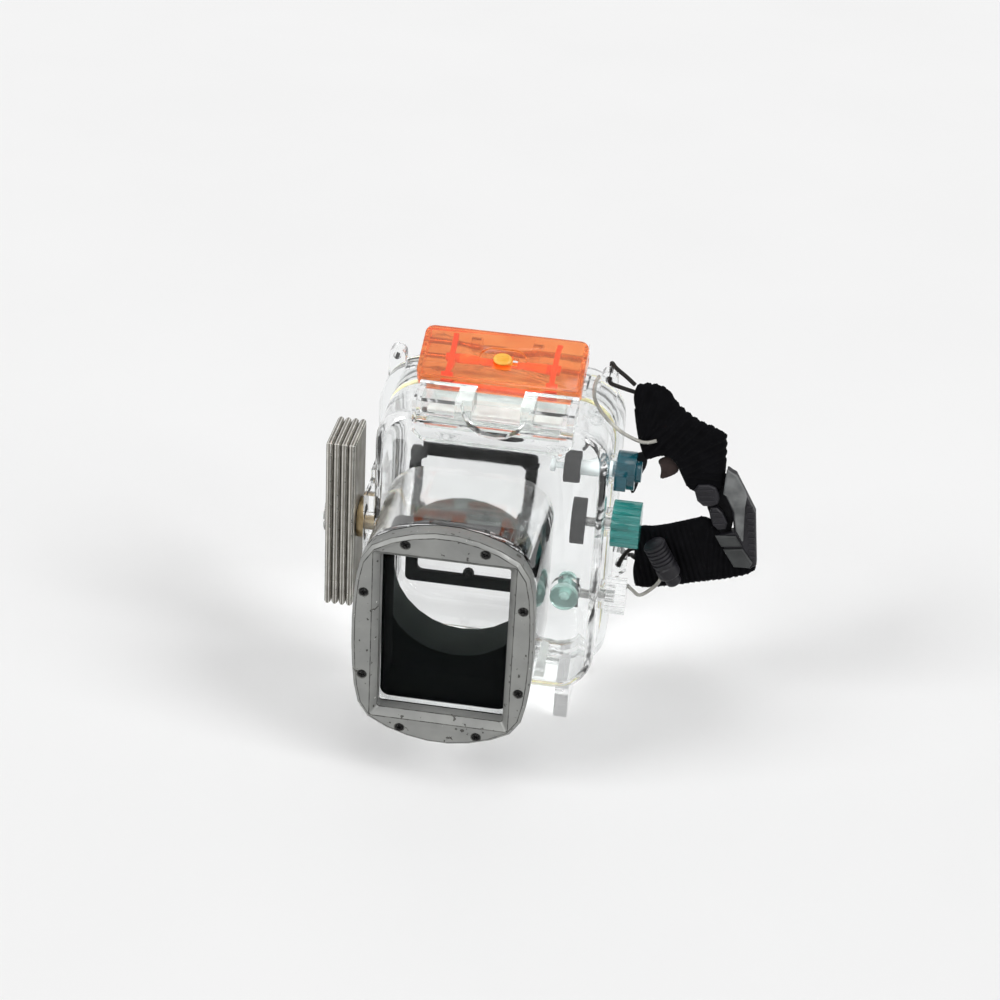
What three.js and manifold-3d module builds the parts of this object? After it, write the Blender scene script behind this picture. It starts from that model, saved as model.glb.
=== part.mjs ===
import * as THREE from 'three';
import { mergeVertices } from 'three/addons/utils/BufferGeometryUtils.js';
import Module from 'manifold-3d';

// A clear underwater camera housing that stands on its hinge side. The frame: X = 0 and the lens
// axis height are the port's centre, Y = 0 is the parting plane with the port towards -Y, and
// Z = 0 is the surface that the hinge knuckles and the foot ribs stand on. All in millimetres.

const wasm = await Module();
wasm.setup();

// Driving dimensions

const runningGap = 0.3;
const overrun = 1;
const mergeTolerance = 1e-4;
const cornerPoints = 8;
const rodSides = 16;
const smallSides = 10;

// The body is as wide and as tall as the port barrel plus these margins.
const body = {
  leftMargin: 6.6,
  controlBay: 20.6,
  bottomMargin: 17.5,
  topMargin: 23.5,
  floorClearance: 0.6,
  wall: 3.5,
  cornerRadius: 17,
  frontDepth: 34,
  rearDepth: 32,
  frontFillet: 6,
  rearFillet: 7,
  insideFillet: 3,
  flangeOverhang: 3,
  flangeTopOverhang: 7,
  flangeThickness: 6,
  flangeCornerRadius: 18,
};

const seal = {
  landWidth: 1.2,
  grooveWidth: 2.6,
  sideClearance: 0.25,
  depthClearance: 0.5,
  faceGap: 0.35,
  sides: 8,
};

const port = {
  axisX: 0,
  reach: 98,
  frameHalfWidth: 37,
  frameHalfHeight: 50,
  frameThickness: 8,
  frameBevel: 1.5,
  frameSide: 8.3,
  frameTop: 10.7,
  mouthCorner: 1.2,
  chamferInset: 2.7,
  chamferDepth: 3.2,
  gasketThickness: 1,
  flangeThickness: 4,
  flangeInset: 0.6,
  windowMarginX: 3.6,
  windowMarginZ: 4,
  windowThickness: 2.4,
  windowCorner: 6,
  ledgeThickness: 2.5,
  barrelInsetX: 1.6,
  barrelInsetZ: 6,
  barrelCornerRadius: 18,
  barrelWall: 2.8,
};

const portScrew = {
  headRadius: 1.9,
  headDepth: 1.2,
  shankRadius: 1,
  length: 11.4,
  recess: 0.1,
};
// Where the frame screws stand, in shares of the frame's half sizes.
const screwShares = { topAcross: 0.43, topUp: 0.874, sideAcross: 0.868, sideUp: 0.394 };

const hood = {
  marginX: 0.6,
  marginZ: 0.4,
  corner: 4,
  wall: 1.1,
  tubeGap: 0.6,
  tubeWall: 1.2,
};
// Where the hood's tube ends and begins and where its rectangle ends, in shares of the way from
// the body's front face to the window.
const hoodShares = { tubeBack: 0.0962, tubeFront: 0.4808, rectangleEnd: 0.6346 };

const hinge = {
  pinRadius: 1.5,
  knuckleRadius: 4.2,
  doorKnuckleRadius: 4,
  pinLength: 72,
  endKnuckle: 12,
  middleKnuckle: 24,
  sideGap: 0.4,
  heelDepth: 3,
};

const foot = { width: 6, pastCorner: 5, root: 3 };

const catchBlock = {
  rise: 9,
  drop: 9,
  proud: 5,
  depth: 19,
  recessRadius: 14,
  recessHalfWidth: 10,
  pocketWidth: 14,
  pocketDepth: 7,
  pocketRim: 3,
  chamfer: 4,
  leftInset: 3.1,
  recessOffset: 2.2,
};

const latch = {
  offsetX: -0.6,
  pivotRise: 5,
  pivotBack: 0.7,
  tiltDegrees: 23,
  halfWidth: 34.7,
  rearReach: 5.2,
  frontReach: 23.1,
  top: 7.05,
  wall: 2.1,
  skirtBottom: -0.6,
  cornerRadius: 4,
  pinRadius: 1.5,
  earOffset: 13,
  earWidth: 4,
  earRadius: 4.2,
  recessHalfLength: 10,
  recessHalfWidth: 6,
  recessDepth: 0.9,
  recessCentre: 9.8,
  recessSideGap: 1.1,
};

const claw = {
  pinReach: 8.5,
  pinHeight: 1.2,
  pinRadius: 1.2,
  barrelRadius: 2.1,
  offset: 22,
  tipWidth: 5,
  ribWidth: 2.2,
  front: 20.6,
  tipLength: 3,
  tipBottom: -2.1,
  frontTop: 3.6,
  rearTop: 3.6,
  rearBottom: 2.5,
  rear: 3.5,
  armBottom: -0.4,
  barThickness: 2,
};

const lock = {
  halfLength: 3.75,
  halfWidth: 3.25,
  corner: 1,
  height: 1.6,
  stem: 3,
  footHalf: 4,
  footThickness: 0.6,
  travel: 4.5,
};

const lug = {
  width: 7,
  rise: 8,
  root: 10,
  boreRadius: 1.7,
  leftInset: 7,
  rightInset: 7.5,
  sideReach: 6.5,
  heightShare: 0.4031,
  sideHeight: 12,
};

const boss = {
  rise: 2,
  halfHeight: 16.5,
  height: 5,
  halfWidth: 10,
  tabLength: 10,
  tabHalfWidth: 5,
  tabHeight: 3,
};

const bushing = { radius: 5.5, boreRadius: 3.4, flangeRadius: 9, flangeThickness: 3.4, floor: 1.3 };

const weights = {
  count: 4,
  thickness: 2.9,
  depth: 16,
  below: 38.7,
  height: 79.6,
  width: 24.5,
  chamfer: 0.8,
};

const weightScrew = {
  shankRadius: 3,
  headRadius: 8,
  headThickness: 1.4,
  slotWidth: 1.6,
  slotDepth: 0.7,
  engagement: 2.4,
};

const controls = { depth: 17, shaftRadius: 2, bossRadius: 6.5, bossHeight: 2.2, bossGap: 0.4 };

const zoom = {
  heightShare: 0.814,
  radius: 8.2,
  length: 8,
  hubRadius: 3.4,
  boreRadius: 1.8,
  tabReach: 12.5,
  tabWidth: 7,
  wheelRadius: 7,
  wheelInset: 19,
  wheelLength: 7,
  capRecess: 3,
  capRecessRadius: 5,
};

const shutter = {
  radius: 4.5,
  capThickness: 3,
  travel: 2.5,
  stemRadius: 1.4,
  stemInset: 24,
  tipRadius: 3,
  tipThickness: 2,
};

const mode = {
  heightShare: 0.6124,
  radius: 10,
  length: 12,
  flutes: 14,
  fluteDepth: 0.9,
  wheelInset: 14,
  wheelLength: 6,
  wheelRadius: 10,
  seat: 5,
};

const exposure = {
  heightShare: 0.3333,
  radius: 8,
  length: 8.5,
  flutes: 18,
  fluteDepth: 0.5,
  wheelInset: 16,
  wheelLength: 8,
  wheelRadius: 6.5,
  seat: 5,
};

const frontButton = {
  sideGap: 7.1,
  drop: 7.5,
  radius: 6,
  thickness: 3.2,
  travel: 2,
  padRadius: 4,
  padThickness: 2.2,
  padGap: 4,
};

const lcd = {
  borderX: 5.5,
  borderZ: 6,
  thickness: 2,
  standOff: 1.5,
  tabRadius: 2.6,
  tabBore: 1,
  corner: 2.5,
  cornerPoints: 4,
  windowRise: 0.8,
  windowMargin: 3,
};

// The display mask's half sizes and centre, in shares of the body's half width and half height.
const lcdShares = { halfWidth: 0.5918, halfHeight: 0.5659, across: -0.3061, up: -0.2636 };

const dial = {
  offsetX: -1,
  heightShare: 0.7907,
  radius: 13,
  thickness: 4.5,
  flutes: 20,
  fluteDepth: 0.6,
  wheelRadius: 9,
  wheelThickness: 3,
  wheelGap: 2.5,
  seat: 1.8,
};

const rearKey = {
  radius: 4.2,
  thickness: 3,
  travel: 1.5,
  guardWall: 1.8,
  guardHeight: 3,
  shaftRadius: 1.6,
  padRadius: 3,
  padThickness: 2.4,
  padGap: 3.2,
};
// Where the rear buttons stand from the dial: across in shares of the body's half width, up in
// shares of its half height.
const rearKeyShares = [
  [-0.5306, -0.186],
  [-0.5306, 0.155],
  [0.4898, -0.186],
  [0.4898, 0.155],
  [0.7755, -0.0155],
];

const pad = { halfWidth: 28, frontGap: 0.5, back: 3, thickness: 3 };

const strap = {
  depth: 10,
  thickness: 4,
  buckleThickness: 8,
  keeperThickness: 7,
  cordRadius: 0.9,
  tetherRadius: 0.8,
  overlap: 3.3,
  width: 58.3,
  topGap: 1.1,
  bottomGap: 7.4,
  routeLength: 10,
  cordSteps: 28,
  tetherSteps: 24,
};

const cordLock = {
  acrossShare: 0.2264,
  upShare: 0.2787,
  tiltDegrees: 60,
  radius: 5,
  length: 18,
  boreRadius: 3.8,
  boreDepth: 12,
  stemRadius: 3.4,
  stemDepth: 8,
  proud: 4.5,
};

// Shapes

function signedVolume(position, index) {
  const a = new THREE.Vector3();
  const b = new THREE.Vector3();
  const c = new THREE.Vector3();
  let total = 0;
  for (let i = 0; i < index.length; i += 3) {
    a.fromArray(position, index[i] * 3);
    b.fromArray(position, index[i + 1] * 3);
    c.fromArray(position, index[i + 2] * 3);
    total += a.dot(b.cross(c));
  }
  return total;
}

// Joins rings of equal point counts. A closed loop of rings makes a wall round an opening, and a
// capped row of rings makes a plug or a tub.
function loft(rings, capped = false) {
  const n = rings[0].length;
  const position = rings.flat().flat();
  const index = [];
  const last = capped ? rings.length - 1 : rings.length;
  for (let r = 0; r < last; r += 1) {
    const from = r * n;
    const to = ((r + 1) % rings.length) * n;
    for (let i = 0; i < n; i += 1) {
      const j = (i + 1) % n;
      index.push(from + i, from + j, to + j, from + i, to + j, to + i);
    }
  }
  if (capped) {
    const end = (rings.length - 1) * n;
    for (let i = 1; i < n - 1; i += 1) {
      index.push(0, i + 1, i, end, end + i, end + i + 1);
    }
  }
  if (signedVolume(position, index) < 0) index.reverse();
  const geometry = new THREE.BufferGeometry();
  geometry.setAttribute('position', new THREE.Float32BufferAttribute(position, 3));
  geometry.setIndex(index);
  return geometry;
}

function toSolid(geometry) {
  const bare = new THREE.BufferGeometry();
  bare.setAttribute('position', geometry.getAttribute('position'));
  if (geometry.index) bare.setIndex(geometry.index);
  const merged = mergeVertices(bare, mergeTolerance);
  return new wasm.Manifold(new wasm.Mesh({
    numProp: 3,
    vertProperties: new Float32Array(merged.getAttribute('position').array),
    triVerts: new Uint32Array(merged.index.array),
  }));
}

function toGeometry(solid) {
  const mesh = solid.getMesh();
  const geometry = new THREE.BufferGeometry();
  geometry.setAttribute('position', new THREE.BufferAttribute(new Float32Array(mesh.vertProperties), 3));
  geometry.setIndex(new THREE.BufferAttribute(new Uint32Array(mesh.triVerts), 1));
  return geometry;
}

function join(...geometries) {
  return toGeometry(geometries.map(toSolid).reduce((sum, solid) => sum.add(solid)));
}

function cut(base, ...tools) {
  return toGeometry(tools.map(toSolid).reduce((rest, tool) => rest.subtract(tool), toSolid(base)));
}

function block(x0, x1, y0, y1, z0, z1) {
  const box = new THREE.BoxGeometry(x1 - x0, y1 - y0, z1 - z0);
  return box.translate((x0 + x1) / 2, (y0 + y1) / 2, (z0 + z1) / 2);
}

// A round bar along one axis; the other two places are given in X, Y, Z order.
function rod(axis, radius, from, to, first, second, sides = rodSides, endRadius = radius) {
  const bar = new THREE.CylinderGeometry(endRadius, radius, to - from, sides);
  const middle = (from + to) / 2;
  if (axis === 'x') return bar.rotateZ(-Math.PI / 2).translate(middle, first, second);
  if (axis === 'y') return bar.translate(first, middle, second);
  return bar.rotateX(Math.PI / 2).translate(first, second, middle);
}

function outlineToShape(points) {
  return new THREE.Shape(points.map(([x, z]) => new THREE.Vector2(x, z)));
}

// Extrudes an outline drawn in X and Z along Y.
function plateY(points, y0, y1, holes = []) {
  const shape = outlineToShape(points);
  shape.holes = holes.map(outlineToShape);
  const geometry = new THREE.ExtrudeGeometry(shape, { depth: y1 - y0, bevelEnabled: false });
  return geometry.rotateX(Math.PI / 2).translate(0, y1, 0);
}

// Extrudes an outline drawn in Y and Z along X.
function plateX(points, x0, x1) {
  const shape = outlineToShape(points);
  const geometry = new THREE.ExtrudeGeometry(shape, { depth: x1 - x0, bevelEnabled: false });
  return geometry.rotateX(Math.PI / 2).rotateZ(Math.PI / 2).translate(x0, 0, 0);
}

// Extrudes an outline drawn in X and Y along Z.
function plateZ(points, z0, z1) {
  const geometry = new THREE.ExtrudeGeometry(outlineToShape(points), { depth: z1 - z0, bevelEnabled: false });
  return geometry.translate(0, 0, z0);
}

function roundedOutline(halfWidth, halfHeight, radius, acrossCentre = 0, upCentre = 0,
  perCorner = cornerPoints) {
  const corners = [[1, 1], [-1, 1], [-1, -1], [1, -1]];
  return corners.flatMap(([sx, sz], q) => Array.from({ length: perCorner }, (_, i) => {
    const angle = (q + i / (perCorner - 1)) * Math.PI / 2;
    return [
      acrossCentre + sx * (halfWidth - radius) + radius * Math.cos(angle),
      upCentre + sz * (halfHeight - radius) + radius * Math.sin(angle),
    ];
  }));
}

function circleOutline(radius, across, up, sides) {
  return Array.from({ length: sides }, (_, i) => {
    const angle = (i / sides) * 2 * Math.PI;
    return [across + radius * Math.cos(angle), up + radius * Math.sin(angle)];
  });
}

// One quarter of the port frame's bowed outline, as three curves in shares of its half sizes.
const bowedQuarterShares = [
  { from: [1, 0], control: [1, 0.364], to: [0.946, 0.6], steps: 3 },
  { from: [0.946, 0.6], control: [0.9, 0.796], to: [0.716, 0.864], steps: 2 },
  { from: [0.716, 0.864], control: [0.35, 1], to: [0, 1], steps: 3 },
];

function bowedOutline(halfWidth, halfHeight) {
  const quarter = bowedQuarterShares.flatMap(({ from, control, to, steps }) => {
    const curve = new THREE.QuadraticBezierCurve(
      new THREE.Vector2(...from), new THREE.Vector2(...control), new THREE.Vector2(...to));
    return Array.from({ length: steps }, (_, i) => curve.getPoint((i + 0.5) / steps));
  });
  const mirrored = [...quarter].reverse();
  return [
    ...quarter.map((p) => [p.x, p.y]),
    ...mirrored.map((p) => [-p.x, p.y]),
    ...quarter.map((p) => [-p.x, -p.y]),
    ...mirrored.map((p) => [p.x, -p.y]),
  ].map(([x, z]) => [port.axisX + x * halfWidth, axisZ + z * halfHeight]);
}

function ringAt(y, outline) {
  return outline.map(([x, z]) => [x, y, z]);
}

function portRectangle(halfWidth, halfHeight, radius) {
  return roundedOutline(halfWidth, halfHeight, radius, port.axisX, axisZ);
}

// The fluted outline of a knob: each flute is a shallow dip between two lands.
function flutedOutline(radius, depth, flutes, first, second) {
  const landShares = [0, 0.3, 0.5, 0.8];
  const depthShares = [0, 0, 1, 1];
  return Array.from({ length: flutes }, (_, i) => landShares.map((share, k) => {
    const angle = ((i + share) / flutes) * 2 * Math.PI;
    const r = radius - depth * depthShares[k];
    return [first + r * Math.cos(angle), second + r * Math.sin(angle)];
  })).flat();
}

function tubeAlong(points, radius, steps, sides = 8) {
  const path = new THREE.CatmullRomCurve3(points.map((p) => new THREE.Vector3(...p)));
  const section = new THREE.Shape(Array.from({ length: sides }, (_, i) => {
    const angle = (i / sides) * 2 * Math.PI;
    return new THREE.Vector2(radius * Math.cos(angle), radius * Math.sin(angle));
  }));
  return new THREE.ExtrudeGeometry(section, { steps, extrudePath: path, bevelEnabled: false });
}

// Materials

function finish(color, roughness, metalness = 0, opacity = 1) {
  return new THREE.MeshStandardMaterial({ color, roughness, metalness, opacity, transparent: opacity < 1 });
}

const clearPlastic = finish(0xdfe6e4, 0.12, 0, 0.35);
const windowGlass = finish(0xe8f0f0, 0.02, 0, 0.3);
const frameMetal = finish(0x8f918c, 0.45, 0.6);
const plateMetal = finish(0x8a867f, 0.5, 0.5);
const steel = finish(0x9a9a98, 0.3, 1);
const darkSteel = finish(0x3a3a3a, 0.4, 1);
const brassMetal = finish(0xb08d57, 0.35, 1);
const blackPlastic = finish(0x141516, 0.5);
const blackRubber = finish(0x1c1c1d, 0.85);
const greyRubber = finish(0x8c8f8c, 0.8);
const sealRubber = finish(0xe6dfa0, 0.6);
const orangePlastic = finish(0xe8743b, 0.15, 0, 0.7);
const redPlastic = finish(0xd02a20, 0.35);
const yellowPlastic = finish(0xf0b040, 0.35);
const tealPlastic = finish(0x1f7f8a, 0.2, 0, 0.8);
const greenPlastic = finish(0x2fa08a, 0.2, 0, 0.8);
const neoprene = finish(0x101012, 0.95);
const bucklePlastic = finish(0x4a4a4c, 0.4);
const tetherPlastic = finish(0x9b9a94, 0.25);

const housing = new THREE.Group();

function place(name, geometry, material, parent = housing) {
  const mesh = new THREE.Mesh(geometry, material);
  mesh.name = name;
  parent.add(mesh);
  return mesh;
}

// Places that several pieces share

const barrelHalfWidth = port.frameHalfWidth - port.barrelInsetX;
const barrelHalfHeight = port.frameHalfHeight - port.barrelInsetZ;
const mouthHalfWidth = port.frameHalfWidth - port.frameSide;
const mouthHalfHeight = port.frameHalfHeight - port.frameTop;
const throatHalfWidth = mouthHalfWidth - port.chamferInset;
const throatHalfHeight = mouthHalfHeight - port.chamferInset;
const windowHalfWidth = throatHalfWidth + port.windowMarginX;
const windowHalfHeight = throatHalfHeight + port.windowMarginZ;
const hoodHalfWidth = throatHalfWidth + hood.marginX;
const hoodHalfHeight = throatHalfHeight + hood.marginZ;
const hoodTubeRadius = barrelHalfWidth - port.barrelWall - hood.tubeGap;

const hingeZ = hinge.knuckleRadius;
const flangeBottom = 2 * hinge.knuckleRadius + body.floorClearance;
const wallBottom = flangeBottom + body.flangeOverhang;
const axisZ = wallBottom + body.bottomMargin + barrelHalfHeight;
const wallTop = axisZ + barrelHalfHeight + body.topMargin;
const flangeTop = wallTop + body.flangeTopOverhang;
const cavityBottom = wallBottom + body.wall;
const cavityTop = wallTop - body.wall;
const recessTop = cavityTop + 2 * seal.landWidth + seal.grooveWidth;
const bodyCentreZ = (wallBottom + wallTop) / 2;
const wallHalfHeight = (wallTop - wallBottom) / 2;

const wallLeft = port.axisX - barrelHalfWidth - body.leftMargin;
const wallRight = port.axisX + barrelHalfWidth + body.controlBay;
const centreX = (wallLeft + wallRight) / 2;
const wallHalfWidth = (wallRight - wallLeft) / 2;
const flangeLeft = wallLeft - body.flangeOverhang;
const flangeRight = wallRight + body.flangeOverhang;

const sealRadius = seal.grooveWidth / 2 - seal.sideClearance;
const doorFront = runningGap;
const frontFace = -body.frontDepth;
const frontInner = frontFace + body.wall;
const backOuter = body.rearDepth;
const backInner = backOuter - body.wall;
const frameBack = -port.reach + port.frameThickness;
const portFlangeFront = frameBack + port.gasketThickness;
const portFlangeBack = portFlangeFront + port.flangeThickness;
const windowFront = portFlangeFront + runningGap;
const windowBack = windowFront + port.windowThickness;

const screwPlaces = [
  [screwShares.topAcross, screwShares.topUp],
  [screwShares.sideAcross, screwShares.sideUp],
].flatMap(([across, up]) => [[-1, 1], [1, 1], [-1, -1], [1, -1]].map(([sx, sz]) => [
  port.axisX + sx * across * port.frameHalfWidth,
  axisZ + sz * up * port.frameHalfHeight,
]));

const latchX = centreX + latch.offsetX;
const pivotY = doorFront + body.flangeThickness + latch.pivotBack;
const pivotZ = flangeTop + latch.pivotRise;

const controlY = -controls.depth;
const wallOuterFace = wallRight + controls.bossHeight;
const controlFace = wallOuterFace + controls.bossGap;
const heightOf = (control) => wallBottom + control.heightShare * (wallTop - wallBottom);
const frontButtonX = port.axisX + barrelHalfWidth + frontButton.sideGap;
const frontButtonZ = axisZ - frontButton.drop;

const bossZ = bodyCentreZ + boss.rise;
const bossFace = wallLeft - boss.height;
const bushingDepth = boss.height + body.wall - bushing.floor;
const plateStack = weights.count * (weights.thickness + runningGap);
const screwHeadBack = bossFace - bushing.flangeThickness - plateStack - runningGap;

const dialX = centreX + dial.offsetX;
const dialZ = heightOf(dial);
const lcdHalfWidth = lcdShares.halfWidth * wallHalfWidth;
const lcdHalfHeight = lcdShares.halfHeight * wallHalfHeight;
const lcdX = centreX + lcdShares.across * wallHalfWidth;
const lcdZ = bodyCentreZ + lcdShares.up * wallHalfHeight;
const rearKeyPlaces = rearKeyShares.map(([across, up]) => [
  dialX + across * wallHalfWidth,
  dialZ + up * wallHalfHeight,
]);

const lugTop = flangeTop + lug.rise;
const lugZ = lugTop - lug.width / 2;
const lugMiddleY = -body.flangeThickness / 2;
const leftLugX = flangeLeft + lug.leftInset;
const rightLugX = flangeRight - lug.rightInset;
const sideLugX = flangeRight + lug.sideReach / 2;
const sideLugZ = heightOf(lug);

const strapLeft = controlFace + zoom.length - strap.overlap;
const strapTop = lugTop - strap.topGap;
const strapBottom = sideLugZ - strap.bottomGap;
const strapRise = strapTop - strapBottom;

function bodyOutline(inset) {
  return roundedOutline(wallHalfWidth - inset, wallHalfHeight - inset, body.cornerRadius - inset,
    centreX, bodyCentreZ);
}

function flangeOutline() {
  return roundedOutline(wallHalfWidth + body.flangeOverhang, (flangeTop - flangeBottom) / 2,
    body.flangeCornerRadius, centreX, (flangeTop + flangeBottom) / 2);
}

// Rings of a quarter-round corner between a side wall and an end face.
function filletRings(yStart, direction, radius, baseInset, stepDegrees) {
  return stepDegrees.map((degrees) => {
    const angle = THREE.MathUtils.degToRad(degrees);
    const inset = baseInset + radius * (1 - Math.cos(angle));
    return ringAt(yStart + direction * radius * Math.sin(angle), bodyOutline(inset));
  });
}

// The dip in both flanges that the latch lies in.
function latchRecess() {
  const half = latch.halfWidth + latch.recessSideGap;
  return block(latchX - half, latchX + half, -body.flangeThickness - overrun,
    doorFront + body.flangeThickness + overrun, recessTop, flangeTop + overrun);
}

// Front shell

function frontShellSkin() {
  const barrel = portRectangle(barrelHalfWidth, barrelHalfHeight, port.barrelCornerRadius);
  const bore = portRectangle(barrelHalfWidth - port.barrelWall, barrelHalfHeight - port.barrelWall,
    port.barrelCornerRadius - port.barrelWall);
  const rim = bowedOutline(port.frameHalfWidth - port.flangeInset, port.frameHalfHeight - port.flangeInset);
  const seat = portRectangle(windowHalfWidth + runningGap, windowHalfHeight + runningGap,
    port.windowCorner + runningGap);
  const ledge = portRectangle(hoodHalfWidth + runningGap, hoodHalfHeight + runningGap,
    hood.corner + runningGap);
  const seatBack = windowBack + runningGap;
  return loft([
    ringAt(0, flangeOutline()),
    ringAt(-body.flangeThickness, flangeOutline()),
    ringAt(-body.flangeThickness, bodyOutline(0)),
    ...filletRings(frontFace + body.frontFillet, -1, body.frontFillet, 0, [0, 30, 60, 90]),
    ringAt(frontFace, barrel),
    ringAt(portFlangeBack, barrel),
    ringAt(portFlangeBack, rim),
    ringAt(portFlangeFront, rim),
    ringAt(portFlangeFront, seat),
    ringAt(seatBack, seat),
    ringAt(seatBack, ledge),
    ringAt(seatBack + port.ledgeThickness, ledge),
    ringAt(seatBack + port.ledgeThickness, bore),
    ringAt(frontInner, bore),
    ...filletRings(frontInner + body.insideFillet, -1, body.insideFillet, body.wall, [90, 45, 0]),
    ringAt(0, bodyOutline(body.wall)),
  ]);
}

function catchGeometry() {
  const { chamfer } = catchBlock;
  const top = wallTop + catchBlock.rise;
  const bottom = wallTop - catchBlock.drop;
  const front = frontFace - catchBlock.proud;
  const back = front + catchBlock.depth;
  const left = latchX - latch.halfWidth + catchBlock.leftInset;
  const right = latchX + latch.halfWidth;
  const recessX = latchX + catchBlock.recessOffset;
  const outline = [
    [left, top],
    [left, bottom + chamfer],
    [left + chamfer, bottom],
    [right - chamfer, bottom],
    [right, bottom + chamfer],
    [right, top],
  ];
  const solid = plateY(outline, front, back);
  const thumb = rod('y', catchBlock.recessRadius, front - overrun, frontFace - runningGap, recessX, top);
  const slot = block(recessX - catchBlock.recessHalfWidth, recessX + catchBlock.recessHalfWidth,
    front - overrun, back + overrun, wallTop + runningGap, top + overrun);
  const pockets = [-1, 1].map((side) => {
    const outer = (side < 0 ? left : right) - side * catchBlock.pocketRim;
    const inner = outer - side * catchBlock.pocketWidth;
    return block(Math.min(inner, outer), Math.max(inner, outer), front + catchBlock.pocketRim,
      back - catchBlock.pocketRim, top - catchBlock.pocketDepth, top + overrun);
  });
  const cavity = loft([
    ringAt(overrun, bodyOutline(body.wall)),
    ...filletRings(frontInner + body.insideFillet, -1, body.insideFillet, body.wall, [0, 45, 90]),
  ], true);
  return cut(solid, thumb, slot, cavity, ...pockets);
}

// Where the knuckles lie along the hinge line: two for the door between three for the front shell.
function knuckleSpans() {
  const start = centreX - hinge.pinLength / 2;
  const end = centreX + hinge.pinLength / 2;
  const middle = [centreX - hinge.middleKnuckle / 2, centreX + hinge.middleKnuckle / 2];
  const frontSpans = [[start, start + hinge.endKnuckle], middle, [end - hinge.endKnuckle, end]];
  const doorSpans = [
    [start + hinge.endKnuckle + hinge.sideGap, middle[0] - hinge.sideGap],
    [middle[1] + hinge.sideGap, end - hinge.endKnuckle - hinge.sideGap],
  ];
  return { frontSpans, doorSpans, start, end };
}

function lugGeometry(x) {
  const half = lug.width / 2;
  const front = -body.flangeThickness;
  return cut(
    join(block(x - half, x + half, front, 0, flangeTop - lug.root, lugZ), rod('y', half, front, 0, x, lugZ)),
    rod('y', lug.boreRadius, front - overrun, overrun, x, lugZ, smallSides));
}

function sideLugGeometry() {
  const half = lug.sideHeight / 2;
  const end = flangeRight + lug.sideReach;
  const outline = [
    [flangeRight - overrun, sideLugZ - half],
    [sideLugX, sideLugZ - half],
    [end, sideLugZ - half / 2],
    [end, sideLugZ + half / 2],
    [sideLugX, sideLugZ + half],
    [flangeRight - overrun, sideLugZ + half],
  ];
  const hole = circleOutline(lug.boreRadius, sideLugX, sideLugZ, smallSides);
  return plateY(outline, -body.flangeThickness, 0, [hole]);
}

function frontShell() {
  const { frontSpans, start, end } = knuckleSpans();
  const r = hinge.knuckleRadius;
  const added = [catchGeometry()];
  frontSpans.forEach(([x0, x1]) => {
    added.push(rod('x', r, x0, x1, 0, hingeZ));
    added.push(block(x0, x1, -r, 0, hingeZ, flangeBottom + overrun));
  });
  const [, [heelStart, heelEnd]] = frontSpans;
  added.push(block(heelStart, heelEnd, -hinge.heelDepth, hinge.heelDepth, 0, hingeZ));
  [-1, 1].forEach((side) => {
    const x = centreX + side * (wallHalfWidth - body.cornerRadius + foot.pastCorner);
    added.push(block(x - foot.width / 2, x + foot.width / 2, frontFace, -body.flangeThickness / 2,
      0, wallBottom + foot.root));
  });
  added.push(lugGeometry(leftLugX), lugGeometry(rightLugX), sideLugGeometry());
  const bossTop = bossZ + boss.halfHeight;
  added.push(block(bossFace, wallLeft + overrun, -weights.depth - boss.halfWidth,
    -weights.depth + boss.halfWidth, bossZ - boss.halfHeight, bossTop));
  added.push(block(wallLeft - boss.tabHeight, wallLeft + overrun, -weights.depth - boss.tabHalfWidth,
    -weights.depth + boss.tabHalfWidth, bossTop - overrun, bossTop + boss.tabLength));
  [zoom, mode, exposure].forEach((control) => {
    added.push(rod('x', controls.bossRadius, wallRight - overrun, wallOuterFace, controlY,
      heightOf(control)));
  });
  added.push(rod('y', controls.bossRadius, frontFace - controls.bossHeight, frontFace + overrun,
    frontButtonX, frontButtonZ));

  const removed = [
    rod('x', hinge.pinRadius + runningGap, start - overrun, end + overrun, 0, hingeZ),
    rod('x', bushing.radius + runningGap, bossFace - overrun, bossFace + bushingDepth, -weights.depth, bossZ),
    rod('x', zoom.hubRadius + runningGap, wallRight - body.wall - overrun, wallOuterFace + overrun, controlY,
      heightOf(zoom)),
    rod('y', controls.shaftRadius + runningGap, frontFace - controls.bossHeight - overrun,
      frontInner + overrun, frontButtonX, frontButtonZ),
  ];
  [mode, exposure].forEach((control) => {
    removed.push(rod('x', controls.shaftRadius + runningGap, wallRight - body.wall - overrun,
      wallOuterFace + overrun, controlY, heightOf(control)));
  });
  screwPlaces.forEach(([x, z]) => {
    removed.push(rod('y', portScrew.shankRadius + runningGap, portFlangeFront - overrun,
      -port.reach + portScrew.recess + portScrew.length + runningGap, x, z, smallSides));
  });
  return cut(join(cut(frontShellSkin(), latchRecess()), ...added), ...removed);
}

// Rear shell, which is the door

function rearShellSkin() {
  const grooveInner = body.wall - seal.landWidth;
  const grooveOuter = grooveInner - seal.grooveWidth;
  const grooveBottom = doorFront + 2 * sealRadius + seal.depthClearance;
  const sideEnd = backOuter - body.rearFillet;
  const insideEnd = backInner - body.insideFillet;
  return loft([
    ...filletRings(sideEnd, 1, body.rearFillet, 0, [90, 60, 30, 0]),
    ringAt(doorFront + body.flangeThickness, bodyOutline(0)),
    ringAt(doorFront + body.flangeThickness, flangeOutline()),
    ringAt(doorFront, flangeOutline()),
    ringAt(doorFront, bodyOutline(grooveOuter)),
    ringAt(grooveBottom, bodyOutline(grooveOuter)),
    ringAt(grooveBottom, bodyOutline(grooveInner)),
    ringAt(doorFront, bodyOutline(grooveInner)),
    ringAt(doorFront, bodyOutline(body.wall)),
    ...filletRings(insideEnd, 1, body.insideFillet, body.wall, [0, 45, 90]),
  ], true);
}

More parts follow.
